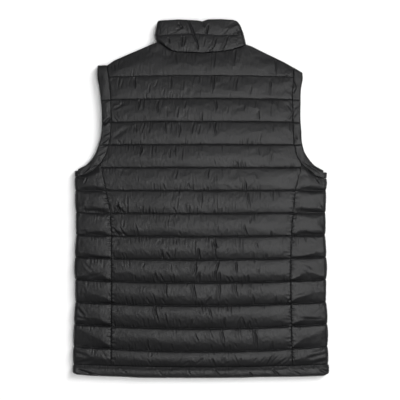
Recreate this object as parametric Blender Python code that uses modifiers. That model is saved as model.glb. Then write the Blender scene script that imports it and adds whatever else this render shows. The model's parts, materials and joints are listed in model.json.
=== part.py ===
"""Quilted puffer vest, zipped up and laid flat with its back up, as closed solids.

The garment is a flattened tube, so its two layers lie on each other about a middle
plane.  Every point is set by its place in the plan, by the angle through which the
cloth has turned at a fold, and by its distance from that plane.  The back faces +Z,
the collar points to +Y, and the fronts rest on the surface at z = 0.
"""

from collections import namedtuple

import bmesh
import bpy
import numpy as np

VEST = "puffer_vest"
MM = 0.001

# Padding and cloth, in millimetres from the middle plane unless stated.
MIDDLE_Z = 9.2  # height of the middle plane over the surface
INSIDE = 0.15  # a layer's plain inside
SLIT = 1.2  # how far the inside opens at a fold
STITCH = 3.0  # outside at a line of stitching
CROWN = 14.5  # outside at the top of a full baffle
FOLD = 8.0  # outside at a folded side
FOLD_STITCH = 5.5  # outside where a stitching line passes a folded side
SHOULDER_FOLD = 4.5  # outside where an armhole band turns over the shoulder
SEAM = 0.18  # half of the parting at a seam
SEAM_EASE = 14.0  # width over which padding fills out beside a seam
FULL_BAFFLE = 40.0  # a baffle narrower than this holds less padding

# Quilting: thirteen lines over the back, and the hem seam below them.
FIRST_LINE_Y = 263.6
LINE_PITCH = 49.25
LEVEL_LINE = 5  # lines bow down above this one and up below it
LINE_BOW = 1.3  # bow of each line more than the one above, at the side
BOW_AT = 270.0
HEM_LINE = 14
HEM_SEAM_Y = -361.6
HEM_SEAM_BOW = 6.0
BAND_CORNER_LINE = 4.83  # where the side seam meets the armhole band
SETTLING = 8  # rounds that settle where a row meets its seam

# A puffed section between two lines: share of the way down, share of the loft.
Puff = namedtuple("Puff", "share loft")
PUFFS = (Puff(0.0, 0.0), Puff(0.16, 0.74), Puff(0.5, 1.0), Puff(0.83, 0.76))

# Top edge of the back in plan: left shoulder, neckline, right shoulder.
EdgePoint = namedtuple("EdgePoint", "x y")
TOP_EDGE = (
    EdgePoint(-200.6, 286.8),
    EdgePoint(-186.0, 297.1),
    EdgePoint(-165.3, 306.2),
    EdgePoint(-105.3, 332.0),
    EdgePoint(-93.5, 336.7),
    EdgePoint(-82.1, 330.7),
    EdgePoint(-66.9, 319.5),
    EdgePoint(-49.7, 315.2),
    EdgePoint(4.1, 313.3),
    EdgePoint(42.6, 316.0),
    EdgePoint(67.5, 320.0),
    EdgePoint(87.1, 326.8),
    EdgePoint(98.3, 331.5),
    EdgePoint(109.0, 327.7),
    EdgePoint(143.6, 310.5),
    EdgePoint(179.5, 293.3),
    EdgePoint(199.9, 281.6),
)
NECK_LEFT = -93.5
NECK_RIGHT = 98.3
NECK_STEPS = 16
SHOULDER_STEPS = 10
FRONT_NECK_DROP = 33.0  # how much lower the front neckline lies at the zip

# Armhole band, from the shoulder down to the underarm: its stitched and its open edge.
BandPoint = namedtuple("BandPoint", "seam_x seam_y edge_x edge_y")
ARMHOLE = {
    -1: (
        BandPoint(200.6, 286.8, 221.7, 286.4),
        BandPoint(198.0, 267.5, 222.3, 267.5),
        BandPoint(193.9, 233.1, 217.4, 233.1),
        BandPoint(192.4, 194.4, 213.3, 194.4),
        BandPoint(192.4, 160.0, 212.6, 160.0),
        BandPoint(193.7, 134.2, 214.6, 136.3),
        BandPoint(198.4, 111.6, 219.9, 114.8),
        BandPoint(205.5, 91.0, 229.0, 93.3),
        BandPoint(215.4, 74.9, 241.0, 77.6),
        BandPoint(238.4, 57.6, 258.0, 66.9),
        BandPoint(268.5, 46.0, 272.2, 60.6),
    ),
    1: (
        BandPoint(199.9, 281.6, 219.1, 270.5),
        BandPoint(198.7, 254.6, 218.9, 254.6),
        BandPoint(197.0, 231.0, 215.6, 233.1),
        BandPoint(196.9, 205.1, 214.8, 205.1),
        BandPoint(197.6, 177.2, 214.6, 177.2),
        BandPoint(198.4, 144.9, 216.3, 147.1),
        BandPoint(201.0, 114.8, 218.4, 119.1),
        BandPoint(207.5, 91.0, 226.0, 95.5),
        BandPoint(216.5, 74.9, 239.7, 77.0),
        BandPoint(240.6, 53.1, 255.4, 65.8),
        BandPoint(269.8, 42.1, 272.0, 57.0),
    ),
}
BAND_CORNER = 8  # row of ARMHOLE where the side seam begins

# Seam between the back and each side panel, and the folded side, by height.
SideSeam = namedtuple("SideSeam", "y left right")
SIDE_SEAM = (
    SideSeam(74.9, 215.4, 216.5),
    SideSeam(59.8, 212.2, 213.8),
    SideSeam(17.0, 203.4, 203.2),
    SideSeam(-28.2, 194.8, 198.8),
    SideSeam(-61.5, 192.6, 195.4),
    SideSeam(-132.4, 191.8, 193.5),
    SideSeam(-362.0, 192.4, 196.9),
)
SideEdge = namedtuple("SideEdge", "y left right")
SIDE_EDGE = (
    SideEdge(60.0, 271.5, 272.4),
    SideEdge(-3.4, 270.5, 270.5),
    SideEdge(-67.9, 269.2, 269.2),
    SideEdge(-153.9, 272.2, 272.4),
    SideEdge(-196.9, 270.5, 270.7),
    SideEdge(-261.4, 273.3, 273.9),
    SideEdge(-347.4, 275.4, 275.6),
    SideEdge(-368.9, 275.6, 276.7),
)

# Lower edge of the hem channel.
HEM_EDGE = (
    EdgePoint(-276.0, -375.6),
    EdgePoint(-265.5, -378.2),
    EdgePoint(-235.4, -380.8),
    EdgePoint(-162.3, -383.3),
    EdgePoint(-136.5, -385.1),
    EdgePoint(1.1, -385.7),
    EdgePoint(87.1, -385.1),
    EdgePoint(121.5, -383.8),
    EdgePoint(216.1, -382.7),
    EdgePoint(263.4, -381.0),
    EdgePoint(276.7, -376.6),
)

# Stand collar: its middle stitching line, its top edge and its two folded sides.
COLLAR_MIDDLE = (
    EdgePoint(-93.7, 349.8),
    EdgePoint(-53.5, 352.6),
    EdgePoint(-11.8, 353.7),
    EdgePoint(34.8, 350.5),
    EdgePoint(71.4, 350.9),
    EdgePoint(92.0, 353.5),
)
COLLAR_TOP = (
    EdgePoint(-92.0, 382.6),
    EdgePoint(-46.2, 385.1),
    EdgePoint(-7.5, 383.1),
    EdgePoint(3.2, 380.9),
    EdgePoint(16.1, 385.3),
    EdgePoint(44.1, 385.7),
    EdgePoint(69.9, 384.0),
    EdgePoint(84.0, 378.0),
)
CollarSide = namedtuple("CollarSide", "rise left right")
COLLAR_SIDE = (
    CollarSide(0.0, 93.6, 98.2),
    CollarSide(0.5, 97.8, 95.5),
    CollarSide(1.0, 99.3, 93.0),
    CollarSide(1.5, 96.2, 88.6),
    CollarSide(1.84, 94.3, 85.0),
    CollarSide(2.0, 91.5, 80.5),
)
COLLAR_CROWN = 12.0
COLLAR_FOLD = 7.0
HEM_CROWN = 9.0
BAND_CROWN = 9.5
OPEN_EDGE = 2.6  # outside at a turned, open edge

# The largest folds of the back, between two quilting lines: the x where each begins,
# the line above it, the stretch it takes of that baffle, its lean and its depth.
Crease = namedtuple("Crease", "x line start end lean depth")
CREASES = (
    Crease(29, 0, 0.15, 0.85, -1, 2.5),
    Crease(71, 0, 0.10, 0.85, 0, 2.2),
    Crease(161, 0, 0.20, 0.95, 0, 2.2),
    Crease(-57, 0, 0.10, 0.55, 13, 2.4),
    Crease(-141, 1, 0.05, 0.60, -3, 3.6),
    Crease(28, 1, 0.10, 0.85, -4, 3.4),
    Crease(78, 1, 0.15, 0.70, -4, 3.2),
    Crease(-63, 1, 0.15, 0.60, -5, 2.6),
    Crease(-133, 2, 0.10, 0.55, -1, 3.2),
    Crease(-91, 2, 0.10, 0.65, -5, 3.4),
    Crease(33, 2, 0.10, 0.65, -2, 3.4),
    Crease(-122, 3, 0.10, 0.55, -8, 3.0),
    Crease(-76, 3, 0.10, 0.55, 0, 2.8),
    Crease(-45, 3, 0.10, 0.75, -3, 3.4),
    Crease(-16, 3, 0.10, 0.60, -6, 3.0),
    Crease(31, 3, 0.15, 0.70, -1, 2.6),
    Crease(-128, 4, 0.05, 0.55, -3, 3.2),
    Crease(-56, 4, 0.10, 0.55, 3, 2.8),
    Crease(148, 4, 0.10, 0.85, 1, 1.6),
    Crease(-51, 5, 0.10, 0.55, -4, 2.6),
    Crease(18, 5, 0.10, 0.55, -8, 2.8),
    Crease(93, 5, 0.45, 0.95, 9, 2.8),
    Crease(-180, 6, 0.45, 0.95, 14, 5.0),
    Crease(102, 6, 0.10, 0.90, 3, 3.0),
    Crease(1, 6, 0.10, 0.90, 1, 2.4),
    Crease(91, 7, 0.40, 0.95, 16, 3.2),
    Crease(-140, 7, 0.40, 0.90, 7, 3.2),
    Crease(29, 8, 0.10, 0.90, 4, 4.6),
    Crease(-4, 8, 0.45, 0.90, 2, 2.6),
    Crease(-83, 8, 0.45, 0.90, 1, 2.6),
    Crease(38, 9, 0.10, 0.90, -9, 4.6),
    Crease(-9, 9, 0.15, 0.70, -5, 3.0),
    Crease(76, 9, 0.15, 0.75, -2, 2.8),
    Crease(-99, 9, 0.45, 0.90, 7, 3.4),
    Crease(-15, 10, 0.15, 0.85, 4, 4.4),
    Crease(39, 10, 0.15, 0.85, 2, 3.4),
    Crease(74, 10, 0.15, 0.75, 6, 3.2),
    Crease(111, 10, 0.45, 0.85, 5, 3.2),
    Crease(-76, 10, 0.15, 0.75, 3, 3.2),
    Crease(-98, 11, 0.15, 0.85, 8, 4.0),
    Crease(18, 11, 0.15, 0.90, 7, 3.6),
    Crease(50, 11, 0.45, 0.90, 3, 3.8),
    Crease(89, 11, 0.45, 0.90, 9, 3.8),
    Crease(114, 12, 0.15, 0.90, 9, 5.0),
    Crease(-115, 12, 0.45, 0.90, 6, 4.2),
    Crease(46, 12, 0.15, 0.85, 5, 3.4),
)
CREASE_HALF = 5.0  # half the width of a fold
GATHER = 0.16  # unevenness of the padding where it is gathered to a line
GATHER_SEED = 11

# Zip at the centre front, on the underside.
ZIP_EDGE = 9.0  # the fronts end this far from the centre
TAPE_IN = 1.6
TAPE_OUT = 8.7
TAPE_Z = (6.3, 7.3)
CHAIN_IN = 0.15
CHAIN_OUT = 3.2
CHAIN_Z = (5.6, 7.6)
ZIP_FOOT_Y = -381.0
CHAIN_TOP_Y = 333.0
TAPE_TOP_Y = 344.0

# Zip slider: two plates joined by a post past the end of the chain, and a bridge.
SLIDER_WIDTH = 9.0
SLIDER_LOW_Y = CHAIN_TOP_Y - 8.0
SLIDER_HIGH_Y = CHAIN_TOP_Y + 5.0
OUTER_PLATE_Z = (4.2, 5.3)
INNER_PLATE_Z = (7.9, 8.9)
POST_WIDTH = 2.4
POST_Y = (CHAIN_TOP_Y + 1.0, SLIDER_HIGH_Y)
BRIDGE_WIDTH = 2.4
BRIDGE_Z = (0.7, 1.5)
BRIDGE_LEG = 1.0
BRIDGE_GAP = 4.4  # between the bridge's legs
JOIN = 0.2  # overlap of shapes that are fused

# Pull tab: a plate with a window, whose end bar turns inside the bridge.
HINGE_Y = CHAIN_TOP_Y - 1.5
HINGE_Z = 2.85
TAB_WIDTH = 7.0
TAB_LENGTH = 26.0
TAB_THICK = 1.2
TAB_BAR = 1.3
TAB_WINDOW = 3.6
TAB_WINDOW_LENGTH = 4.6
TAB_ROUND = 1.8

# Colours, linear, and roughness.
SHELL = ("quilted_nylon", (0.045, 0.046, 0.050), 0.42, 0.0)
TAPE = ("zip_tape", (0.012, 0.012, 0.013), 0.85, 0.0)
METAL = ("zip_metal", (0.030, 0.030, 0.032), 0.35, 0.8)


def clear_scene():
    """Remove the objects that are already in the file."""
    for thing in list(bpy.data.objects):
        bpy.data.objects.remove(thing, do_unlink=True)


def new_collection(name, shown):
    """A collection under the scene, hidden in a render when it holds cutters."""
    group = bpy.data.collections.new(name)
    bpy.context.scene.collection.children.link(group)
    group.hide_render = not shown
    return group


def material(finish):
    """The Principled material of a finish, made once."""
    name, colour, roughness, metallic = finish
    if name in bpy.data.materials:
        return bpy.data.materials[name]
    made = bpy.data.materials.new(name)
    made.use_nodes = True
    shader = made.node_tree.nodes["Principled BSDF"]
    shader.inputs["Base Color"].default_value = (*colour, 1.0)
    shader.inputs["Roughness"].default_value = roughness
    shader.inputs["Metallic"].default_value = metallic
    return made


def mix(low, high, share):
    """The value at a share of the way from low to high."""
    return low + (high - low) * share


def along(x, points):
    """The y of a line of points at x."""
    return float(np.interp(x, [p.x for p in points], [p.y for p in points]))


def smooth(x, xs, ys):
    """A smooth curve through the points of a table, read at x."""
    slopes = np.gradient(ys, xs)
    k = int(np.clip(np.searchsorted(xs, x) - 1, 0, len(xs) - 2))
    span = xs[k + 1] - xs[k]
    t = min(max((x - xs[k]) / span, 0.0), 1.0)
    start = (1 + 2 * t) * (1 - t) ** 2 * ys[k] + t * (1 - t) ** 2 * span * slopes[k]
    end = t * t * (3 - 2 * t) * ys[k + 1] - t * t * (1 - t) * span * slopes[k + 1]
    return float(start + end)


def by_height(table, y, side):
    """A side's distance from the centre in a table sorted downwards."""
    rows = table[::-1]
    reach = [row.left if side < 0 else row.right for row in rows]
    return smooth(y, [row.y for row in rows], reach)


def line_y(line, x):
    """Height of a whole quilting line, or of the hem seam, at x."""
    share = (x / BOW_AT) ** 2
    if line == HEM_LINE:
        return HEM_SEAM_Y + HEM_SEAM_BOW * share
    return FIRST_LINE_Y - LINE_PITCH * (line - 1) + LINE_BOW * (line - LEVEL_LINE) * share


NECK_X = np.linspace(NECK_LEFT, NECK_RIGHT, NECK_STEPS + 1)
NECK_Y = np.array([along(x, TOP_EDGE) for x in NECK_X])


def neck_y(x, front):
    """Height of the neck seam, lower at the centre front."""
    y = float(np.interp(x, NECK_X, NECK_Y))
    return y - FRONT_NECK_DROP * neck_drop(x) if front else y


def neck_drop(x):
    """Share of the front neckline's drop at x, none at the two folds."""
    end = NECK_LEFT if x < 0 else NECK_RIGHT
    return max(0.0, 1 - (x / end) ** 2)


def top_y(x, front):
    """Height of the shoulder line and the neck seam."""
    if NECK_LEFT <= x <= NECK_RIGHT:
        return neck_y(x, front)
    return along(x, TOP_EDGE)


def baffle(row):
    """The line above a row, and the row's share of the way to the next line."""
    line = int(np.floor(row + 1e-9))
    return line, row - line


def row_y(row, x, front=False):
    """Height at x of a row, counted in quilting lines down from the top edge."""
    line, share = baffle(row)
    above = line_y(line, x) if line > 0 else top_y(x, front)
    return mix(above, line_y(min(line + 1, HEM_LINE), x), share)


def rows_between(first, last):
    """Rows at every puffed section of the baffles from first to last."""
    found = [line + puff.share for line in range(int(last) + 1) for puff in PUFFS]
    return [row for row in found if first - 1e-9 <= row <= last + 1e-9]


def panel_edge(y, side):
    """Distance from the centre of the seam that ends the back panel."""
    band = ARMHOLE[side][: BAND_CORNER + 1][::-1]
    if y > band[0].seam_y:
        return smooth(y, [p.seam_y for p in band], [p.seam_x for p in band])
    return by_height(SIDE_SEAM, y, side)


def row_end(row, side):
    """Plan point where a row meets the seam that ends the back panel."""
    x = side * ARMHOLE[side][BAND_CORNER].seam_x
    for _ in range(SETTLING):
        x = side * panel_edge(row_y(row, x), side)
    return x, row_y(row, x)


def puff_shape(share):
    """Share of the full loft at a share of the way down a baffle."""
    shares = [puff.share for puff in PUFFS] + [1.0]
    return float(np.interp(share, shares, [puff.loft for puff in PUFFS] + [0.0]))


def loft(share, tall, room):
    """Padding over the stitching of a baffle tall mm high, room mm from its seam."""
    full = min(1.0, max(0.0, tall) / FULL_BAFFLE) ** 0.6
    beside = min(1.0, max(0.0, room) / SEAM_EASE) ** 0.5
    return (CROWN - STITCH) * puff_shape(share) * full * beside


def turned(x, y, angle, radius, out):
    """A point at radius from the middle plane, turned by angle towards out."""
    sine = np.sin(np.radians(angle))
    cosine = np.cos(np.radians(angle))
    place = (x + out[0] * radius * sine, y + out[1] * radius * sine, MIDDLE_Z + radius * cosine)
    return [c * MM for c in place]


def fold_radius(angle, over, edge, under):
    """Outside radius at an angle of a fold, from its three main radii."""
    flat = over if angle < 90 else under
    return mix(edge, flat, np.cos(np.radians(angle)) ** 2)


def inside_radius(angle):
    """Inside radius at an angle of a fold."""
    return INSIDE + SLIT * np.sin(np.radians(angle)) ** 2


def slab(name, outer, inner, finish, group, ring=False):
    """A closed wall between two grids of points, round a ring or between two ends."""
    rows, columns = len(outer), len(outer[0])
    mesh = bmesh.new()
    out = [[mesh.verts.new(p) for p in row] for row in outer]
    back = [[mesh.verts.new(p) for p in row] for row in inner]
    for i in range(rows if ring else rows - 1):
        k = (i + 1) % rows
        for j in range(columns - 1):
            mesh.faces.new((out[i][j], out[i][j + 1], out[k][j + 1], out[k][j]))
            mesh.faces.new((back[i][j], back[k][j], back[k][j + 1], back[i][j + 1]))
        mesh.faces.new((out[i][0], out[k][0], back[k][0], back[i][0]))
        mesh.faces.new((out[i][-1], back[i][-1], back[k][-1], out[k][-1]))
    if not ring:
        for j in range(columns - 1):
            mesh.faces.new((out[0][j], back[0][j], back[0][j + 1], out[0][j + 1]))
            mesh.faces.new((out[-1][j], out[-1][j + 1], back[-1][j + 1], back[-1][j]))
    bmesh.ops.recalc_face_normals(mesh, faces=mesh.faces)
    data = bpy.data.meshes.new(name)
    mesh.to_mesh(data)
    mesh.free()
    data.shade_smooth()
    thing = bpy.data.objects.new(name, data)
    thing.data.materials.append(material(finish))
    group.objects.link(thing)
    return thing


def back_columns(row):
    """The x of each column of the back at a row, drawn to the folds that cross it."""
    low, high = row_end(row, -1)[0] + SEAM, row_end(row, 1)[0] - SEAM
    left = np.linspace(low, NECK_LEFT, SHOULDER_STEPS + 1)[:-1]
    right = np.linspace(NECK_RIGHT, high, SHOULDER_STEPS + 1)[1:]
    xs = np.concatenate([left, NECK_X, right])
    dips = np.zeros(len(xs))
    line, share = baffle(row)
    for fold in CREASES:
        if fold.line != line or not fold.start <= share <= fold.end:
            continue
        centre = fold.x + fold.lean * (share - fold.start)
        k = int(np.argmin(np.abs(xs - centre)))
        xs[k - 1 : k + 2] = centre - CREASE_HALF, centre, centre + CREASE_HALF
        dips[k] = fold.depth
    return xs, dips


def back_panel(group):
    """The quilted back, from the hem seam up to the shoulders and the neck."""
    uneven = np.random.default_rng(GATHER_SEED)
    outer, inner = [], []
    for row in rows_between(0, HEM_LINE):
        xs, dips = back_columns(row)
        trim = SEAM if row == 0 else -SEAM if row == HEM_LINE else 0.0
        gathers = 1 + GATHER * (uneven.random(len(xs)) - 0.5) * 2
        outer.append([])
        inner.append([])
        line, share = baffle(row)
        for x, dip, gather in zip(xs, dips, gathers):
            tall = row_y(line, x) - row_y(line + 1, x)
            padding = loft(share, tall, min(x - xs[0], xs[-1] - x)) * gather
            height = STITCH + max(0.0, padding - dip)
            y = row_y(row, x) - trim
            outer[-1].append(turned(x, y, 0, height, (0, 0)))
            inner[-1].append(turned(x, y, 0, INSIDE, (0, 0)))
    return slab("back_panel", outer, inner, SHELL, group)


# Columns round a side panel: share of the way from its seam to its fold, and angle.
SIDE_COLUMNS = (
    (0.0, 0),
    (0.12, 0),
    (0.35, 0),
    (0.65, 0),
    (0.88, 0),
    (1.0, 0),
    (1.0, 30),
    (1.0, 60),
    (1.0, 90),
    (1.0, 120),
    (1.0, 150),
    (1.0, 180),
    (0.88, 180),
    (0.65, 180),
    (0.35, 180),
    (0.12, 180),
    (0.0, 180),
)
SIDE_DROOP = 0.28  # loss of padding from the seam to the fold


def side_top_y(x, side):
    """Height of the armhole band's seam over the side panel."""
    band = ARMHOLE[side][BAND_CORNER:]
    return smooth(abs(x), [p.seam_x for p in band], [p.seam_y for p in band])


def fold_x(y, side):
    """Centre of the folded side at a height."""
    return side * (by_height(SIDE_EDGE, y, side) - FOLD)


def side_rows(side):
    """Rows of a side panel: each as a row of the back, and its share of the top baffle."""
    corner = row_end(BAND_CORNER_LINE, side)[1]
    sixth = row_end(6, side)[1]
    upper = [row for row in rows_between(BAND_CORNER_LINE, 5.9) if row != 5]
    shares = [(row_end(row, side)[1] - sixth) / (corner - sixth) for row in upper]
    return list(zip(upper, shares)) + [(row, None) for row in rows_between(6, HEM_LINE)]


def side_place(row, rise, x, side):
    """Height at x of a side panel's row, its baffle's height, and its share down it."""
    if rise is None:
        return row_y(row, x), FULL_BAFFLE, baffle(row)[1]
    top, foot = side_top_y(x, side), row_y(6, x)
    return mix(foot, top, rise), top - foot, 1 - rise


def side_panel(name, side, group):
    """A side panel, from the back's seam round the folded side to the front's."""
    outer, inner = [], []
    listed = side_rows(side)
    for number, (row, rise) in enumerate(listed):
        seam_x, seam_y = row_end(row, side)
        far_x = fold_x(row_y(row, side * BOW_AT), side)
        last = number in (0, len(listed) - 1)
        trim = SEAM if number == 0 else -SEAM if last else 0.0
        outer.append([])
        inner.append([])
        for share, angle in SIDE_COLUMNS:
            x = mix(seam_x + side * SEAM, far_x, share)
            y, tall, level = side_place(row, rise, x, side)
            padding = loft(level, tall, abs(x - seam_x)) * (1 - SIDE_DROOP * share**2)
            under = STITCH if last or share == 0 else MIDDLE_Z
            folded = mix(FOLD_STITCH, FOLD, puff_shape(level))
            radius = fold_radius(angle, STITCH + padding, folded, under)
            outer[-1].append(turned(x, y - trim, angle, radius, (side, 0)))
            inner[-1].append(turned(x, y - trim, angle, inside_radius(angle), (side, 0)))
    return slab(name, outer, inner, SHELL, group)


def neck_marks(side):
    """Distances from the centre where the collar is matched to a front."""
    marks = sorted(abs(x) for x in NECK_X if side * x > 2 * ZIP_EDGE)
    return [ZIP_EDGE, 2 * ZIP_EDGE, *marks]


def front_columns(row, side):
    """Distances from the centre of a front's columns at a row."""
    marks = neck_marks(side)
    end = abs(row_end(row, side)[0]) - SEAM
    return [*marks, mix(marks[-1], end, 0.5), end - SEAM_EASE, end]


def front(name, side, group):
    """A front, plain where it rests, with its edges turned up to the seams."""
    outer, inner = [], []
    for row in rows_between(0, HEM_LINE):
        last = row in (0, HEM_LINE)
        trim = SEAM if row == 0 else -SEAM if last else 0.0
        columns = front_columns(row, side)
        outer.append([])
        inner.append([])
        for column in columns:
            x = side * column
            y = row_y(row, x, front=True) - trim
            rim = last or column in (columns[0], columns[-1])
            depth = STITCH if rim else MIDDLE_Z
            outer[-1].append(turned(x, y, 180, depth, (0, 0)))
            inner[-1].append(turned(x, y, 180, INSIDE, (0, 0)))
    return slab(name, outer, inner, SHELL, group)


# Section across an armhole band, from its stitching to its open edge.
BandColumn = namedtuple("BandColumn", "share over side under")
BAND_COLUMNS = (
    BandColumn(0.0, STITCH, FOLD_STITCH, STITCH),
    BandColumn(0.3, BAND_CROWN, FOLD, MIDDLE_Z),
    BandColumn(0.7, BAND_CROWN - 1.0, FOLD, MIDDLE_Z),
    BandColumn(1.0, OPEN_EDGE, FOLD_STITCH, OPEN_EDGE),
)
FOLD_ANGLES = (0, 30, 60, 90, 120, 150, 180)


def band_seam(side):
    """Plan points of a band's stitching, from the shoulder to the underarm fold."""
    down = [row_end(row, side) for row in rows_between(0.5, BAND_CORNER_LINE)]
    corner_x = down[-1][0]
    far_x = fold_x(side_top_y(side * BOW_AT, side), side)
    shares = sorted({share for share, _ in SIDE_COLUMNS})[1:]
    lower = [mix(corner_x, far_x, share) for share in shares]
    return down + [(x, side_top_y(x, side)) for x in lower]


def band_edge(side, seam):
    """Plan points of a band's open edge, one for each point of its stitching."""
    table = ARMHOLE[side]
    marks = path_shares([(p.seam_x, p.seam_y) for p in table])
    start = [side * table[0].seam_x, table[0].seam_y]
    shares = path_shares([start, *seam])[1:]
    edge = []
    for share in shares:
        x = smooth(share, marks, [p.edge_x for p in table])
        y = smooth(share, marks, [p.edge_y for p in table])
        edge.append((side * min(x, abs(seam[-1][0])), y))
    return edge


def path_shares(points):
    """Each point's share of the way along a line of points."""
    steps = np.linalg.norm(np.diff(np.array(points, float), axis=0), axis=1)
    run = np.concatenate([[0.0], np.cumsum(steps)])
    return run / run[-1]


def armhole_band(name, side, group):
    """A flat ring round the armhole that turns over the shoulder and the underarm."""
    seam = band_seam(side)
    edge = band_edge(side, seam)
    table = ARMHOLE[side]
    shoulder = [
        (side * table[0].seam_x, table[0].seam_y - SHOULDER_FOLD),
        (side * table[0].edge_x, table[0].edge_y - SHOULDER_FOLD),
    ]
    stations = [(shoulder, angle, (0, 1)) for angle in FOLD_ANGLES[::-1]]
    stations += [(pair, 0, (0, 0)) for pair in zip(seam[:-1], edge[:-1])]
    stations += [((seam[-1], edge[-1]), angle, (side, 0)) for angle in FOLD_ANGLES]
    stations += [(pair, 180, (0, 0)) for pair in zip(seam[-2::-1], edge[-2::-1])]
    outer, inner = [], []
    for (stitched, open_), angle, out in stations:
        width = np.array(open_) - np.array(stitched)
        start = np.array(stitched) + width / np.linalg.norm(width) * SEAM
        outer.append([])
        inner.append([])
        for column in BAND_COLUMNS:
            x, y = mix(start, np.array(open_), column.share)
            rim = SHOULDER_FOLD if out == (0, 1) else column.side
            radius = fold_radius(angle, column.over, rim, column.under)
            outer[-1].append(turned(x, y, angle, radius, out))
            inner[-1].append(turned(x, y, angle, inside_radius(angle), out))
    return slab(name, outer, inner, SHELL, group, ring=True)


def girth(left, right, over, under):
    """Columns from the zip round both folds: x, angle and side.

    over holds shares of the way from fold to fold, under those from the zip to a fold
    on the left and on the right."""
    columns = [(-mix(ZIP_EDGE, -left, share), 180, -1) for share in under[0]]
    columns += [(left, angle, -1) for angle in FOLD_ANGLES[::-1]]
    columns += [(mix(left, right, share), 0, 0) for share in over]
    columns += [(right, angle, 1) for angle in FOLD_ANGLES]
    columns += [(mix(ZIP_EDGE, right, share), 180, 1) for share in under[1][::-1]]
    return columns


# Section down the hem channel, from its seam to its lower edge.
HemRow = namedtuple("HemRow", "share over side under")
HEM_ROWS = (
    HemRow(0.0, STITCH, FOLD_STITCH, STITCH),
    HemRow(0.22, HEM_CROWN - 1.0, FOLD - 0.6, MIDDLE_Z),
    HemRow(0.5, HEM_CROWN, FOLD, MIDDLE_Z),
    HemRow(0.82, HEM_CROWN - 2.0, FOLD - 0.6, MIDDLE_Z),
    HemRow(1.0, OPEN_EDGE, FOLD_STITCH, STITCH),
)
HEM_STEPS = 24
ZIP_SHARES = (0.0, 0.06, 0.5, 0.94)


def hem_band(group):
    """The hem channel, from the zip round the back to the zip."""
    outer, inner = [], []
    left, right = fold_x(SIDE_EDGE[-1].y, -1), fold_x(SIDE_EDGE[-1].y, 1)
    over = np.linspace(0, 1, HEM_STEPS + 1)[1:-1]
    for row in HEM_ROWS:
        outer.append([])
        inner.append([])
        for x, angle, side in girth(left, right, over, (ZIP_SHARES, ZIP_SHARES)):
            at = x + side * FOLD * np.sin(np.radians(angle))
            y = mix(line_y(HEM_LINE, x) - SEAM, along(at, HEM_EDGE), row.share)
            under = STITCH if abs(x) == ZIP_EDGE else row.under
            radius = fold_radius(angle, row.over, row.side, under)
            outer[-1].append(turned(x, y, angle, radius, (side, 0)))
            inner[-1].append(turned(x, y, angle, inside_radius(angle), (side, 0)))
    return slab("hem_band", outer, inner, SHELL, group)


def collar_y(rise, x, under):
    """Height at a rise of 0 for the neck seam, 1 for the middle line, 2 for the top.

    under is the share of the front's drop, 1 on the underside."""
    at = float(np.clip(x, NECK_LEFT, NECK_RIGHT))
    levels = [neck_y(at, False), along(x, COLLAR_MIDDLE), along(x, COLLAR_TOP)]
    drop = FRONT_NECK_DROP * neck_drop(at) * under
    return float(np.interp(rise, (0, 1, 2), levels)) - drop


def collar_fold(rise, side):
    """Centre of a folded side of the collar at a rise."""
    reach = [row.left if side < 0 else row.right for row in COLLAR_SIDE]
    return side * (float(np.interp(rise, [row.rise for row in COLLAR_SIDE], reach)) - COLLAR_FOLD)


def collar_shares():
    """Where the collar's columns stand on the neck seam, on the back and on each front."""
    low, high = collar_fold(0, -1), collar_fold(0, 1)
    over = [(x - low) / (high - low) for x in NECK_X if low + 1 < x < high - 1]
    under = []
    for side, fold in ((-1, low), (1, high)):
        reach = abs(fold) - ZIP_EDGE
        marks = [(mark - ZIP_EDGE) / reach for mark in neck_marks(side)]
        under.append([mark for mark in marks if mark < 1])
    return over, under


def collar(group):
    """The stand collar of two baffles, from the zip round the neck to the zip."""
    over, under = collar_shares()
    outer, inner = [], []
    for rise in [level + puff.share for level in (0, 1) for puff in PUFFS] + [2.0]:
        low, high = collar_fold(rise, -1), collar_fold(rise, 1)
        shape = puff_shape(rise % 1)
        lift = SEAM if rise == 0 else 0.0
        outer.append([])
        inner.append([])
        for x, angle, side in girth(low, high, over, under):
            rim = rise in (0, 2) or abs(x) == ZIP_EDGE
            padded = mix(STITCH, COLLAR_CROWN, shape)
            folded = mix(FOLD_STITCH - 1, COLLAR_FOLD, shape)
            radius = fold_radius(angle, padded, folded, STITCH if rim else MIDDLE_Z)
            at = x + side * radius * np.sin(np.radians(angle))
            y = collar_y(rise, at, max(0.0, (angle - 90) / 90)) + lift
            outer[-1].append(turned(x, y, angle, radius, (side, 0)))
            inner[-1].append(turned(x, y, angle, inside_radius(angle), (side, 0)))
    return slab("collar", outer, inner, SHELL, group)


def box(name, low, high, group):
    """A box between two corners in millimetres, from the unit cube."""
    mesh = bmesh.new()
    bmesh.ops.create_cube(mesh, size=1.0)
    size = [(b - a) * MM for a, b in zip(low, high)]
    centre = [(a + b) / 2 * MM for a, b in zip(low, high)]
    for vert in mesh.verts:
        vert.co = [c + v * s for c, v, s in zip(centre, vert.co, size)]
    data = bpy.data.meshes.new(name)
    mesh.to_mesh(data)
    mesh.free()
    thing = bpy.data.objects.new(name, data)
    group.objects.link(thing)
    return thing


def combine(thing, tool, operation):
    """Fuse a helper to a piece, or cut it away, with an exact Boolean."""
    modifier = thing.modifiers.new(tool.name, "BOOLEAN")
    modifier.operation = operation
    modifier.solver = "EXACT"
    modifier.object = tool
    tool.display_type = "WIRE"
    tool.hide_render = True


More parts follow.
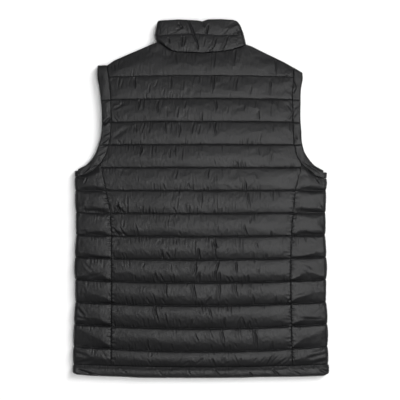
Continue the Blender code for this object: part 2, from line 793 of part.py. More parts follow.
def zip_tape(name, side, group, cutters):
    """Half of the closed zip: a woven tape with its row of teeth as a raised bead."""
    low_x, high_x = sorted((side * TAPE_IN, side * TAPE_OUT))
    tape = box(name, (low_x, ZIP_FOOT_Y, TAPE_Z[0]), (high_x, TAPE_TOP_Y, TAPE_Z[1]), group)
    low_x, high_x = sorted((side * CHAIN_IN, side * CHAIN_OUT))
    ends = (low_x, ZIP_FOOT_Y - JOIN, CHAIN_Z[0]), (high_x, CHAIN_TOP_Y, CHAIN_Z[1])
    combine(tape, box(f"{name}_bead", *ends, cutters), "UNION")
    tape.data.materials.append(material(TAPE))
    return tape


def zip_slider(group, cutters):
    """The slider at the top of the chain, with the bridge that holds its pull tab."""
    half = SLIDER_WIDTH / 2
    slider = box(
        "zip_slider",
        (-half, SLIDER_LOW_Y, OUTER_PLATE_Z[0]),
        (half, SLIDER_HIGH_Y, OUTER_PLATE_Z[1]),
        group,
    )
    inner_low = (-half, SLIDER_LOW_Y, INNER_PLATE_Z[0])
    inner_plate = box("inner_plate", inner_low, (half, SLIDER_HIGH_Y, INNER_PLATE_Z[1]), cutters)
    post_low = (-POST_WIDTH / 2, POST_Y[0], OUTER_PLATE_Z[1] - JOIN)
    post_high = (POST_WIDTH / 2, POST_Y[1] - JOIN, INNER_PLATE_Z[0] + JOIN)
    helpers = [inner_plate, box("post", post_low, post_high, cutters)]
    arch = BRIDGE_WIDTH / 2
    reach = BRIDGE_GAP / 2 + BRIDGE_LEG
    bar_low = (-arch, HINGE_Y - reach, BRIDGE_Z[0])
    helpers.append(box("bridge_bar", bar_low, (arch, HINGE_Y + reach, BRIDGE_Z[1]), cutters))
    for name, end in (("bridge_leg_low", -1), ("bridge_leg_high", 1)):
        near, far = sorted((end * BRIDGE_GAP / 2, end * (reach - JOIN / 2)))
        low = (-arch + JOIN / 4, HINGE_Y + near, BRIDGE_Z[0] + JOIN)
        high = (arch - JOIN / 4, HINGE_Y + far, OUTER_PLATE_Z[0] + JOIN)
        helpers.append(box(name, low, high, cutters))
    for helper in helpers:
        combine(slider, helper, "UNION")
    slider.data.materials.append(material(METAL))
    return slider


def zip_pull(group, cutters):
    """The pull tab, with its origin on the hinge axis inside the slider's bridge."""
    half = TAB_WIDTH / 2
    bar = TAB_BAR / 2
    low = (-half, -TAB_LENGTH + bar, -TAB_THICK / 2)
    tab = box("zip_pull", low, (half, bar, TAB_THICK / 2), group)
    window_low = (-TAB_WINDOW / 2, -bar - TAB_WINDOW_LENGTH, -TAB_THICK)
    window = box("pull_window", window_low, (TAB_WINDOW / 2, -bar, TAB_THICK), cutters)
    rounding = tab.modifiers.new("rounded_end", "BEVEL")
    rounding.width = TAB_ROUND * MM
    rounding.segments = 3
    rounding.limit_method = "WEIGHT"
    weights = tab.data.attributes.new("bevel_weight_edge", "FLOAT", "EDGE")
    for edge in tab.data.edges:
        ends = [tab.data.vertices[v].co for v in edge.vertices]
        upright = abs(ends[0].z - ends[1].z) > TAB_THICK * MM / 2
        weights.data[edge.index].value = float(upright and ends[0].y < 0)
    combine(tab, window, "DIFFERENCE")
    window.parent = tab
    tab.location = (0.0, HINGE_Y * MM, HINGE_Z * MM)
    tab.data.materials.append(material(METAL))
    return tab


def main():
    """Build every piece of the vest."""
    clear_scene()
    vest = new_collection(VEST, shown=True)
    cutters = new_collection("cutters", shown=False)
    back_panel(vest)
    collar(vest)
    hem_band(vest)
    for word, side in (("left", -1), ("right", 1)):
        side_panel(f"side_panel_{word}", side, vest)
        armhole_band(f"armhole_band_{word}", side, vest)
        front(f"front_{word}", side, vest)
        zip_tape(f"zip_tape_{word}", side, vest, cutters)
    zip_slider(vest, cutters)
    zip_pull(vest, cutters)


main()
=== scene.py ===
"""Quilted puffer vest as the photograph shows it: zipped up, laid flat with its back up.

The cloth pieces of the CAD model are remade here as fine grids.  Each follows the same
tables as the CAD, its baffles are filled by a cloth simulation with the stitched lines
held, and the folds measured in the photograph are laid in as soft troughs.
"""

import json
from collections import namedtuple

import bmesh
import bpy
import numpy as np
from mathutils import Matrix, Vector

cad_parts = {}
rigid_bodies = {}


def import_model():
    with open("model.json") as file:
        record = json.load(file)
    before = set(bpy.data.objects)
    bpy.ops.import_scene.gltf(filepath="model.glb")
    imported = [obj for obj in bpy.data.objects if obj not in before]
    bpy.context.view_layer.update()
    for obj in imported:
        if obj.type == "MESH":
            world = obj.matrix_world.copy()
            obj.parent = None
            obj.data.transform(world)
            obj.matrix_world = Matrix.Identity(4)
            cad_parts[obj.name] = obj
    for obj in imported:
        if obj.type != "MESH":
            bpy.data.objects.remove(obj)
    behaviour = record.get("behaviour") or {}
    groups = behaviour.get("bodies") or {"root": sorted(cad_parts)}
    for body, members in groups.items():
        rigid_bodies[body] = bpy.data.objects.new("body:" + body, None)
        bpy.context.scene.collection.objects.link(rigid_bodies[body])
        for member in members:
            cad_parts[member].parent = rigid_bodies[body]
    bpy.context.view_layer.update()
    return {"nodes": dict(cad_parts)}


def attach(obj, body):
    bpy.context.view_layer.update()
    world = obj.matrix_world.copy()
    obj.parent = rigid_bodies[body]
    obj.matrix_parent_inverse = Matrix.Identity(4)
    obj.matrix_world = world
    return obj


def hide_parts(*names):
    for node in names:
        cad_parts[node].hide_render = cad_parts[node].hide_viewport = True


for spare in list(bpy.data.objects):
    bpy.data.objects.remove(spare, do_unlink=True)
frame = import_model()

MM = 0.001
TINY = 1e-6


def table(columns, *rows):
    """The rows of a table, with its columns named."""
    row = namedtuple("Row", columns)
    return [row(*values) for values in rows]


# Padding and cloth, in millimetres from the middle plane unless stated.
MIDDLE_Z = 9.2  # height of the middle plane over the surface
INSIDE = 0.15  # a layer's plain inside
SLIT = 1.2  # how far the inside opens at a fold
UNDER_STITCH = 3.0  # outside at a seam of the underside
UNDER_STEEP = 8.0  # outside of the underside just beside its seam
FOLD = 8.0  # outside at a folded side
FOLD_STITCH = 5.5  # outside where a stitching line passes a folded side
SHOULDER_FOLD = 4.5  # outside where an armhole band turns over the shoulder
OPEN_EDGE = 2.6  # outside at the open edge of the hem and the armholes
SEAM = 0.18  # half of the parting at a seam
SEAM_EASE = 0.6  # width over which padding fills out beside a seam
SEAM_LOFT = 0.76  # share of the padding that is left at a seam
HIGHEST_RIDGE = 0.96  # furthest down its baffle that a ridge lies
FULL_BAFFLE = 40.0  # a baffle narrower than this holds less padding
FULLNESS = 0.6  # power by which a narrow baffle's padding falls off
THINNEST = 1.6  # least distance of the outside from the middle plane
DIVE = 0.5  # distance in which the cloth dives to its stitching
GROOVE = 4.0  # half the width of a stitched groove on the underside
GROOVE_DEPTH = 2.6
GROOVE_STEEP = 1.5

# Quilting: thirteen lines over the back, and the hem seam below them.
FIRST_LINE_Y = 263.6
LINE_PITCH = 49.25
LEVEL_LINE = 5  # the line that runs level; the others bow up or down at the sides
LINE_BOW = 1.3
BOW_AT = 270.0  # distance from the centre where a line has its whole bow
HEM_LINE = 14
HEM_SEAM_Y = -361.6
HEM_SEAM_BOW = 6.0
TOP_SIDE = 5  # line above the first baffle of a side panel
BAND_CORNER_LINE = 4.83  # row of the back where a side seam begins
BAND_TOP_LINE = 0.5  # row of the back where an armhole band's stitching is first met
SETTLING = 8  # rounds that settle where a row meets its seam
LAST_BAFFLE = 0.72  # height of the last baffle as a share of the pitch

# Outlines in plan, measured in the photograph.
TOP_EDGE = table(
    "x y",
    (-200.6, 286.8), (-186.0, 297.1), (-165.3, 306.2), (-105.3, 332.0), (-93.5, 336.7),
    (-82.1, 330.7), (-66.9, 319.5), (-49.7, 315.2), (4.1, 313.3), (42.6, 316.0), (67.5, 320.0),
    (87.1, 326.8), (98.3, 331.5), (109.0, 327.7), (143.6, 310.5), (179.5, 293.3), (199.9, 281.6),
)
NECK_LEFT = -93.5
NECK_RIGHT = 98.3
FRONT_NECK_DROP = 33.0
SIDE_SEAM = table(
    "y left right",
    (74.9, 215.4, 216.5), (59.8, 212.2, 213.8), (17.0, 203.4, 203.2), (-28.2, 194.8, 198.8),
    (-61.5, 192.6, 195.4), (-132.4, 191.8, 193.5), (-362.0, 192.4, 196.9),
)
SIDE_EDGE = table(
    "y left right",
    (60.0, 271.5, 272.4), (-3.4, 270.5, 270.5), (-67.9, 269.2, 269.2), (-153.9, 272.2, 272.4),
    (-196.9, 270.5, 270.7), (-261.4, 273.3, 273.9), (-347.4, 275.4, 275.6), (-368.9, 275.6, 276.7),
)
HEM_EDGE = table(
    "x y",
    (-276.0, -375.6), (-265.5, -378.2), (-235.4, -380.8), (-162.3, -383.3), (-136.5, -385.1),
    (1.1, -385.7), (87.1, -385.1), (121.5, -383.8), (216.1, -382.7), (263.4, -381.0),
    (276.7, -376.6),
)

# Armhole band, from the shoulder down to the underarm: its stitched and its open edge.
BAND_COLUMNS = "seam_x seam_y edge_x edge_y"
ARMHOLE = {
    -1: table(
        BAND_COLUMNS,
        (200.6, 286.8, 221.7, 286.4), (198.0, 267.5, 222.3, 267.5), (193.9, 233.1, 217.4, 233.1),
        (192.4, 194.4, 213.3, 194.4), (192.4, 160.0, 212.6, 160.0), (193.7, 134.2, 214.6, 136.3),
        (198.4, 111.6, 219.9, 114.8), (205.5, 91.0, 229.0, 93.3), (215.4, 74.9, 241.0, 77.6),
        (238.4, 57.6, 258.0, 66.9), (268.5, 46.0, 272.2, 60.6),
    ),
    1: table(
        BAND_COLUMNS,
        (199.9, 281.6, 219.1, 270.5), (198.7, 254.6, 218.9, 254.6), (197.0, 231.0, 215.6, 233.1),
        (196.9, 205.1, 214.8, 205.1), (197.6, 177.2, 214.6, 177.2), (198.4, 144.9, 216.3, 147.1),
        (201.0, 114.8, 218.4, 119.1), (207.5, 91.0, 226.0, 95.5), (216.5, 74.9, 239.7, 77.0),
        (240.6, 53.1, 255.4, 65.8), (269.8, 42.1, 272.0, 57.0),
    ),
}
BAND_CORNER = 8  # row of ARMHOLE where the side seam begins
BAND_LINES = (2, 3, 4)  # quilting lines that run on across the armhole band
BAND_CROWN = 10.4
BAND_DIVE = 1.8  # depth of a quilting line where it crosses a band
ON_A_LINE = 0.999  # share of that depth from which a section lies on the line

# Collar: its rise is 0 at the neck seam, 1 at the stitched line and 2 at the top.
COLLAR_MIDDLE = table(
    "x y",
    (-93.7, 349.8), (-53.5, 352.6), (-11.8, 353.7), (34.8, 350.5), (71.4, 350.9), (92.0, 353.5),
)
COLLAR_TOP = table(
    "x y",
    (-92.0, 382.6), (-46.2, 385.1), (-7.5, 383.1), (3.2, 380.9), (16.1, 385.3), (44.1, 385.7),
    (69.9, 384.0), (84.0, 378.0),
)
COLLAR_SIDE = table(
    "rise left right",
    (0.0, 93.6, 98.2), (0.5, 97.8, 95.5), (1.0, 99.3, 93.0), (1.5, 96.2, 88.6), (1.84, 94.3, 85.0),
    (2.0, 91.5, 80.5),
)
COLLAR_CROWN = 11.4
COLLAR_STITCH = 10.0
COLLAR_SLOPE = 0.35  # padding lost from the foot of a collar's baffle to its top
COLLAR_TALL = 33.0
COLLAR_FOLD = 7.0
COLLAR_STEP = 1.6
COLLAR_RISES = 1.5  # how fast the collar's underside fills out beside its stitching
COLLAR_UNDER = 6.0  # outside of the collar's underside beside its stitching
NECK_GAP = 6.0  # how much deeper the neck seam lies at its left end
NECK_GAP_END, NECK_GAP_RUN = -64.0, 20.0
ZIP_EDGE = 9.0

# Padding of the back's baffles, by the line above each: the outside at that line and at
# the baffle's ridge, the share of the padding lost from the ridge up to the line, and at
# the left, the middle and the right, where the ridge is and what is lost below it.
BAFFLE_COLUMNS = "stitch crown rise ridges slumps"
BACK_BAFFLES = table(
    BAFFLE_COLUMNS,
    (8.2, 11.9, 0.90, (0.93, 0.94, 0.94), (0.10, 0.10, 0.10)),
    (9.4, 12.2, 0.84, (0.78, 0.80, 0.82), (0.30, 0.22, 0.20)),
    (8.8, 12.3, 0.80, (0.76, 0.78, 0.80), (0.32, 0.26, 0.22)),
    (8.7, 12.3, 0.76, (0.72, 0.74, 0.76), (0.34, 0.28, 0.26)),
    (8.6, 12.4, 0.68, (0.66, 0.68, 0.70), (0.40, 0.32, 0.30)),
    (8.4, 12.4, 0.60, (0.60, 0.62, 0.66), (0.42, 0.36, 0.34)),
    (8.2, 12.5, 0.58, (0.62, 0.60, 0.62), (0.56, 0.42, 0.40)),
    (7.8, 12.6, 0.52, (0.70, 0.56, 0.58), (0.80, 0.50, 0.48)),
    (7.2, 12.8, 0.46, (0.60, 0.52, 0.54), (0.86, 0.62, 0.58)),
    (6.6, 13.0, 0.40, (0.58, 0.48, 0.50), (0.90, 0.76, 0.68)),
    (6.2, 13.1, 0.36, (0.50, 0.42, 0.46), (0.92, 0.82, 0.74)),
    (5.8, 13.2, 0.32, (0.40, 0.34, 0.38), (0.93, 0.86, 0.78)),
    (5.6, 13.2, 0.32, (0.42, 0.34, 0.38), (0.93, 0.86, 0.80)),
    (5.8, 12.6, 0.34, (0.44, 0.42, 0.38), (0.80, 0.72, 0.80)),
    (5.6, 12.4, 0.10, (0.40, 0.40, 0.36), (0.80, 0.70, 0.80)),
)
# The same for the side panels, from the seam over the middle to the folded side.  They
# have no baffle above TOP_SIDE, and the hem's seam is the back's.
SIDE_BAFFLES = BACK_BAFFLES[:TOP_SIDE] + table(
    BAFFLE_COLUMNS,
    (8.4, 12.2, 0.85, (0.90, 0.86, 0.84), (0.35, 0.45, 0.45)),
    (8.2, 12.2, 0.50, (0.86, 0.82, 0.82), (0.40, 0.55, 0.50)),
    (7.8, 12.3, 0.44, (0.86, 0.82, 0.84), (0.45, 0.60, 0.55)),
    (7.2, 12.4, 0.36, (0.90, 0.82, 0.82), (0.50, 0.80, 0.60)),
    (6.6, 12.6, 0.28, (0.92, 0.70, 0.84), (0.60, 0.92, 0.80)),
    (6.2, 12.8, 0.22, (0.97, 0.60, 0.50), (0.60, 0.95, 0.90)),
    (5.6, 12.8, 0.22, (0.86, 0.64, 0.72), (0.72, 0.96, 0.94)),
    (5.4, 12.8, 0.18, (0.88, 0.46, 0.26), (0.70, 0.97, 0.95)),
    (5.4, 12.2, 0.22, (0.62, 0.54, 0.50), (0.78, 0.90, 0.90)),
) + BACK_BAFFLES[HEM_LINE:]
SIDE_DROOP = 0.22  # padding lost towards the folded side

# Where those three places are along a baffle, how gently the padding falls off below the
# ridge at each, and how far the ridge wanders, as a share of the baffle's height.
Spread = namedtuple("Spread", "places bends sway")
BACK_SPREAD = Spread((-190.0, 0.0, 190.0), (1.45, 2.0, 2.0), 0.03)
SIDE_SPREAD = Spread((0.0, 0.5, 1.0), (1.1, 1.1, 1.1), 0.05)
# Two waves make the ridge wander: their length, their shift from line to line, their size.
SWAYS = table("length shift size", (23.0, 1.7, 1.0), (9.3, 2.9, 0.6))

# Outside of the strips, from their stitching to their open edge: above, at a folded side
# and below.
SECTION_COLUMNS = "share over side under"
HEM_CROWN = 9.6
HEM_SECTION = table(
    SECTION_COLUMNS,
    (0.0, BACK_BAFFLES[HEM_LINE].stitch, FOLD_STITCH, UNDER_STITCH),
    (0.11, HEM_CROWN - 3.1, FOLD - 0.8, UNDER_STEEP),
    (0.31, HEM_CROWN - 1.1, FOLD, MIDDLE_Z),
    (0.48, HEM_CROWN - 0.25, FOLD, MIDDLE_Z),
    (0.62, HEM_CROWN, FOLD, MIDDLE_Z),
    (0.8, HEM_CROWN - 0.4, FOLD, MIDDLE_Z),
    (0.92, HEM_CROWN - 1.4, FOLD - 0.6, MIDDLE_Z),
    (1.0, OPEN_EDGE, FOLD_STITCH, UNDER_STITCH),
)
BAND_SECTION = table(
    SECTION_COLUMNS,
    (0.0, 9.0, FOLD_STITCH, UNDER_STITCH),
    (0.03, 9.9, FOLD - 1.0, UNDER_STEEP),
    (0.4, BAND_CROWN, FOLD, MIDDLE_Z),
    (0.93, BAND_CROWN - 0.2, FOLD, MIDDLE_Z),
    (0.985, 7.6, 7.2, UNDER_STEEP),
    (1.0, 4.6, FOLD_STITCH, OPEN_EDGE),
)

# A trough's depth falls off with this power of the distance from its middle, and the
# cloth swells beside it at this distance, both in half widths.
TROUGH_COLUMNS = "power lip"
CREASE_TROUGH, FOLD_TROUGH, PUCKER_TROUGH = table(
    TROUGH_COLUMNS, (1.5, 2.0), (1.6, 2.0), (2, 1.9)
)
TROUGH_REACH = 4  # half widths beyond which a trough is not felt
FOLD_LIP = 0.22  # how far the cloth swells beside a fold, as a share of its depth

# Main folds of the back, between two quilting lines: the x where each begins, the line
# above it, the stretch it takes of that baffle, its lean and its depth.
CREASES = table(
    "x line start end lean depth",
    (29, 0, 0.15, 0.85, -1, 2.5), (71, 0, 0.10, 0.85, 0, 2.2), (161, 0, 0.20, 0.95, 0, 2.2),
    (-57, 0, 0.10, 0.55, 13, 2.4), (-141, 1, 0.05, 0.60, -3, 3.6), (28, 1, 0.10, 0.85, -4, 3.4),
    (78, 1, 0.15, 0.70, -4, 3.2), (-63, 1, 0.15, 0.60, -5, 2.6), (-133, 2, 0.10, 0.55, -1, 3.2),
    (-91, 2, 0.10, 0.65, -5, 3.4), (33, 2, 0.10, 0.65, -2, 3.4), (-122, 3, 0.10, 0.55, -8, 3.0),
    (-76, 3, 0.10, 0.55, 0, 2.8), (-45, 3, 0.10, 0.75, -3, 3.4), (-16, 3, 0.10, 0.60, -6, 3.0),
    (31, 3, 0.15, 0.70, -1, 2.6), (-128, 4, 0.05, 0.55, -3, 3.2), (-56, 4, 0.10, 0.55, 3, 2.8),
    (148, 4, 0.10, 0.85, 1, 1.6), (-51, 5, 0.10, 0.55, -4, 2.6), (18, 5, 0.10, 0.55, -8, 2.8),
    (93, 5, 0.45, 0.95, 9, 2.8), (-180, 6, 0.45, 0.95, 14, 5.0), (102, 6, 0.10, 0.90, 3, 3.0),
    (1, 6, 0.10, 0.90, 1, 2.4), (91, 7, 0.40, 0.95, 16, 3.2), (-140, 7, 0.40, 0.90, 7, 3.2),
    (29, 8, 0.10, 0.90, 4, 4.6), (-4, 8, 0.45, 0.90, 2, 2.6), (-83, 8, 0.45, 0.90, 1, 2.6),
    (38, 9, 0.10, 0.90, -9, 4.6), (-9, 9, 0.15, 0.70, -5, 3.0), (76, 9, 0.15, 0.75, -2, 2.8),
    (-99, 9, 0.45, 0.90, 7, 3.4), (-15, 10, 0.15, 0.85, 4, 4.4), (39, 10, 0.15, 0.85, 2, 3.4),
    (74, 10, 0.15, 0.75, 6, 3.2), (111, 10, 0.45, 0.85, 5, 3.2), (-76, 10, 0.15, 0.75, 3, 3.2),
    (-98, 11, 0.15, 0.85, 8, 4.0), (18, 11, 0.15, 0.90, 7, 3.6), (50, 11, 0.45, 0.90, 3, 3.8),
    (89, 11, 0.45, 0.90, 9, 3.8), (114, 12, 0.15, 0.90, 9, 5.0), (-115, 12, 0.45, 0.90, 6, 4.2),
    (46, 12, 0.15, 0.85, 5, 3.4),
)
CREASE_HALF = 1.3  # half the width of a fold
CREASE_JOINS = 0.3  # a fold that starts above this share runs on to the line above
CREASE_DEPTH = 0.85
CREASE_SWAY, CREASE_SHIFT = 1.0, 0.37  # how far a fold winds, and its shift to the next one
CREASE_WIDENS = (0.8, 0.5)  # half width at a fold's ends, and what its middle has more
CREASE_FADE = 0.6
FADE_IN = 6  # a fold fades in over this part of its length, and out again

# Single folds seen in the photograph, in plan: the ends of the trough, its depth and
# half its width.  A negative depth is a ridge.
FOLD_COLUMNS = "x0 y0 x1 y1 depth half"
FOLDS = {
    "back": table(
        FOLD_COLUMNS,
        (-187.3, 288.5, -184.7, 276.1, 1.4, 2.0), (-31.8, 310.5, -31.8, 297.6, 1.0, 1.2),
        (73.3, 314.1, 73.3, 293.3, 0.9, 1.2), (162.3, 297.6, 162.3, 266.6, 0.8, 1.2),
        (-162.3, 205.1, -188.1, 192.2, 1.6, 2.2), (-188.1, 200.8, -166.6, 199.7, -1.2, 2.0),
        (-189.2, 177.2, -178.4, 165.3, 1.6, 1.6), (-155.9, 153.5, -188.1, 129.9, 1.2, 4.5),
        (-180.0, 126.6, -172.0, 118.0, 1.2, 1.4), (-128.6, 113.7, -126.2, 101.9, 2.2, 1.6),
        (187.5, 202.1, 197.8, 187.9, 1.5, 2.2), (197.8, 187.9, 187.5, 168.6, 1.5, 2.2),
        (149.2, 254.6, 147.9, 220.2, 1.2, 1.8), (123.0, 192.2, 125.3, 168.6, 0.9, 1.5),
        (-180.6, -14.2, -163.4, -31.4, 3.0, 1.9), (-187.0, -63.6, -174.2, -79.8, 2.6, 1.8),
        (-174.2, -61.5, -162.3, -78.7, 2.2, 1.6), (-188.1, -72.2, -158.0, -77.6, 2.0, 3.0),
        (-175.2, 56.8, -166.6, 64.3, 1.0, 1.2), (-158.0, 5.2, -159.1, -16.3, 0.9, 1.3),
        (31.2, -360.3, 23.6, -341.0, 2.0, 1.8), (121.8, -358.2, 140.3, -337.2, 1.0, 1.5),
        (138.7, -362.3, 158.5, -330.4, 1.9, 1.7), (150.7, -352.3, 176.5, -328.5, 0.9, 1.4),
        (158.7, -361.3, 184.5, -341.5, 1.7, 1.8), (177.8, -357.3, 190.1, -346.8, 1.0, 1.5),
        (-106.4, -358.2, -115.0, -343.1, 1.2, 1.6), (-50.5, -358.2, -41.9, -341.0, 1.2, 1.6),
        (69.9, -330.2, 78.5, -351.7, 1.2, 1.6), (-123.4, -184.0, -126.1, -203.7, 0.7, 1.6),
        (125.1, -188.6, 132.8, -208.3, 0.7, 1.6), (40.7, -235.2, 41.8, -270.7, 0.7, 1.6),
        (-31.2, 18.1, -24.7, 35.3, 1.2, 1.5), (102.1, 18.1, 110.7, 33.1, 1.2, 1.5),
        (-84.9, -31.4, -78.5, -16.3, 1.2, 1.5), (11.8, -227.0, 20.4, -209.8, 1.6, 1.6),
        (-7.5, -177.6, -1.1, -153.9, 1.6, 1.6), (-24.7, -276.5, -18.3, -257.1, 1.8, 1.8),
        (78.5, -276.5, 87.1, -252.8, 1.8, 1.8),
    ),
    "side_left": table(
        FOLD_COLUMNS,
        (-261.2, 50.3, -218.2, 67.5, 3.0, 6.0), (-266.6, 48.2, -250.5, 41.7, 1.4, 1.5),
        (-249.4, 33.1, -244.0, 46.0, 1.3, 1.4), (-265.5, 21.3, -203.2, 19.1, 2.6, 5.0),
        (-256.9, -23.9, -196.7, -29.2, 2.8, 5.5), (-265.5, -72.2, -201.0, -77.6, 2.4, 4.5),
        (-261.2, -70.1, -231.1, -65.8, 1.2, 1.5), (-269.8, -229.2, -248.3, -252.8, 1.8, 2.6),
        (-267.7, -255.0, -239.7, -258.2, 1.6, 2.4), (-276.0, -328.2, -240.2, -337.6, 1.7, 3.4),
        (-272.0, -323.8, -239.7, -316.3, 1.0, 2.0), (-276.0, -353.7, -229.4, -346.6, 1.1, 3.0),
        (-213.9, -325.9, -194.6, -351.7, 0.8, 2.4), (-263.4, -177.6, -250.5, -178.7, 1.0, 1.8),
        (-269.8, -95.9, -263.4, -136.7, 0.8, 3.0), (-256.9, -3.4, -226.8, -9.9, 0.7, 3.0),
        (-265.5, -7.7, -259.1, -16.3, 0.8, 1.5), (-252.6, -136.7, -231.1, -156.1, 1.2, 3.0),
        (-244.0, -169.0, -205.3, -158.2, 0.8, 2.0),
    ),
    "side_right": table(
        FOLD_COLUMNS,
        (217.1, 75.0, 263.4, 46.0, 2.4, 4.5), (248.3, 44.9, 254.8, 33.1, 1.8, 1.5),
        (254.8, 48.2, 272.0, 43.9, 1.4, 1.5), (207.5, 21.3, 269.8, 19.1, 2.6, 5.0),
        (198.9, -24.9, 267.7, -30.3, 2.8, 5.5), (205.3, -74.4, 269.8, -75.5, 2.4, 4.5),
        (222.5, -78.7, 226.8, -91.6, 1.4, 1.4), (241.9, -78.7, 250.5, -89.4, 1.2, 1.3),
        (259.1, -12.0, 269.8, -29.2, 1.2, 2.5), (235.4, -186.2, 272.0, -176.5, 0.8, 1.6),
        (198.9, -209.8, 231.1, -202.3, 0.9, 1.5), (211.8, -256.1, 269.8, -258.2, 1.4, 2.0),
        (226.3, -341.8, 282.3, -330.4, 1.8, 3.4), (237.6, -323.8, 272.0, -318.4, 1.2, 2.2),
        (232.6, -354.7, 282.3, -344.3, 1.1, 2.8), (196.7, -338.8, 205.3, -356.0, 1.0, 1.5),
        (263.4, -222.7, 274.1, -239.9, 1.4, 2.4), (216.1, -141.0, 241.9, -156.1, 1.0, 3.0),
    ),
    "armhole_left": table(
        FOLD_COLUMNS,
        (-209.6, 158.9, -193.5, 173.9, 2.4, 2.6), (-210.7, 136.3, -194.6, 142.8, 1.7, 1.9),
        (-212.8, 120.2, -196.7, 130.9, 1.6, 2.0), (-218.2, 110.5, -198.9, 115.9, 1.0, 1.5),
        (-201.0, 190.1, -194.6, 182.5, 0.9, 1.4), (-224.2, 91.2, -214.1, 75.0, 1.8, 1.0),
        (-220.4, 94.4, -203.2, 103.0, 1.2, 1.8), (-211.8, 203.0, -198.9, 212.6, 0.6, 1.5),
        (-256.9, 52.5, -235.4, 70.7, 1.2, 2.0), (-274.1, 57.8, -261.2, 55.7, 1.2, 2.0),
        (-207.5, 237.4, -201.0, 233.1, 0.5, 1.6), (-235.4, 63.2, -222.5, 71.8, 1.0, 1.8),
    ),
    "armhole_right": table(
        FOLD_COLUMNS,
        (197.8, 254.6, 204.5, 238.4, 1.5, 1.6), (204.5, 238.4, 197.8, 226.6, 1.5, 1.6),
        (200.2, 194.4, 215.0, 203.0, 1.2, 1.8), (200.2, 177.2, 211.8, 192.2, 1.0, 1.7),
        (199.9, 135.2, 208.5, 128.8, 1.3, 1.5), (216.9, 77.0, 223.8, 92.0, 1.8, 1.0),
        (222.5, 75.0, 254.8, 53.5, 1.4, 1.6), (218.2, 70.7, 241.9, 52.5, 1.2, 1.6),
        (201.0, 151.4, 209.6, 155.7, 0.8, 1.4), (233.3, 75.0, 263.4, 57.8, 0.9, 1.4),
        (207.5, 104.1, 216.1, 112.7, 0.7, 1.6),
    ),
    "collar_shell": table(
        FOLD_COLUMNS,
        (-27.9, 384.5, -18.7, 364.3, 1.9, 1.7), (-19.7, 368.4, -14.8, 350.3, 1.9, 1.8),
        (-16.3, 353.7, -7.4, 335.3, 2.3, 1.8), (-8.8, 340.4, -5.4, 319.2, 1.8, 1.7),
        (-33.3, 383.3, -21.6, 353.5, -1.5, 3.6), (16.1, 373.9, 12.3, 352.4, 2.2, 1.6),
        (3.2, 380.3, 8.6, 368.5, 1.2, 1.8), (-41.5, 350.0, -40.4, 325.5, 2.0, 1.5),
        (-33.1, 349.2, -36.8, 326.6, 1.2, 1.5), (-69.4, 345.9, -67.1, 334.1, 1.8, 1.7),
        (-47.9, 377.0, -38.0, 364.8, 1.9, 2.2), (-38.9, 369.0, -52.0, 361.8, 1.5, 2.0),
        (33.1, 345.9, 27.7, 324.4, 1.6, 1.7), (27.7, 325.5, 15.7, 316.9, 1.4, 1.5),
        (57.8, 349.2, 54.2, 336.3, 1.5, 1.5), (54.4, 337.3, 45.4, 316.5, 1.6, 1.6),
        (61.3, 365.9, 40.9, 348.3, 0.5, 2.0), (92.1, 378.8, 56.4, 360.5, -0.7, 4.6),
        (93.3, 363.0, 66.9, 354.6, 0.4, 2.4), (-99.5, 341.1, -78.8, 324.2, 7.5, 4.2),
        (-84.1, 329.0, -62.6, 314.6, 5.0, 2.6), (-89.2, 375.0, -87.9, 353.5, 1.0, 2.2),
        (-67.7, 354.8, -50.5, 358.6, 0.8, 1.5), (9.7, 349.2, 5.4, 325.5, 0.7, 1.6),
        (74.2, 348.1, 78.5, 327.7, 0.6, 1.6),
    ),
    "hem_channel": table(
        FOLD_COLUMNS,
        (28.4, -365.7, 41.5, -380.8, 1.8, 1.5), (104.9, -372.2, 111.2, -381.4, 1.6, 1.5),
        (153.3, -365.9, 170.5, -381.4, 2.0, 1.7), (-265.5, -366.8, -231.1, -377.5, 1.4, 2.6),
        (-244.0, -376.5, -213.9, -380.8, 1.0, 2.0), (-175.2, -365.7, -158.0, -374.3, 1.0, 1.4),
        (-170.9, -377.5, -158.0, -371.1, 0.8, 1.2), (254.8, -364.6, 280.6, -377.5, 1.6, 3.2),
        (188.1, -364.6, 216.1, -378.6, 1.0, 1.8), (-93.5, -366.8, -82.8, -377.5, 0.8, 1.4),
        (-29.0, -368.9, -20.4, -379.7, 0.8, 1.4), (78.5, -366.8, 67.7, -378.6, 0.8, 1.4),
        (216.1, -361.4, 229.0, -371.1, 0.8, 1.5),
    ),
}
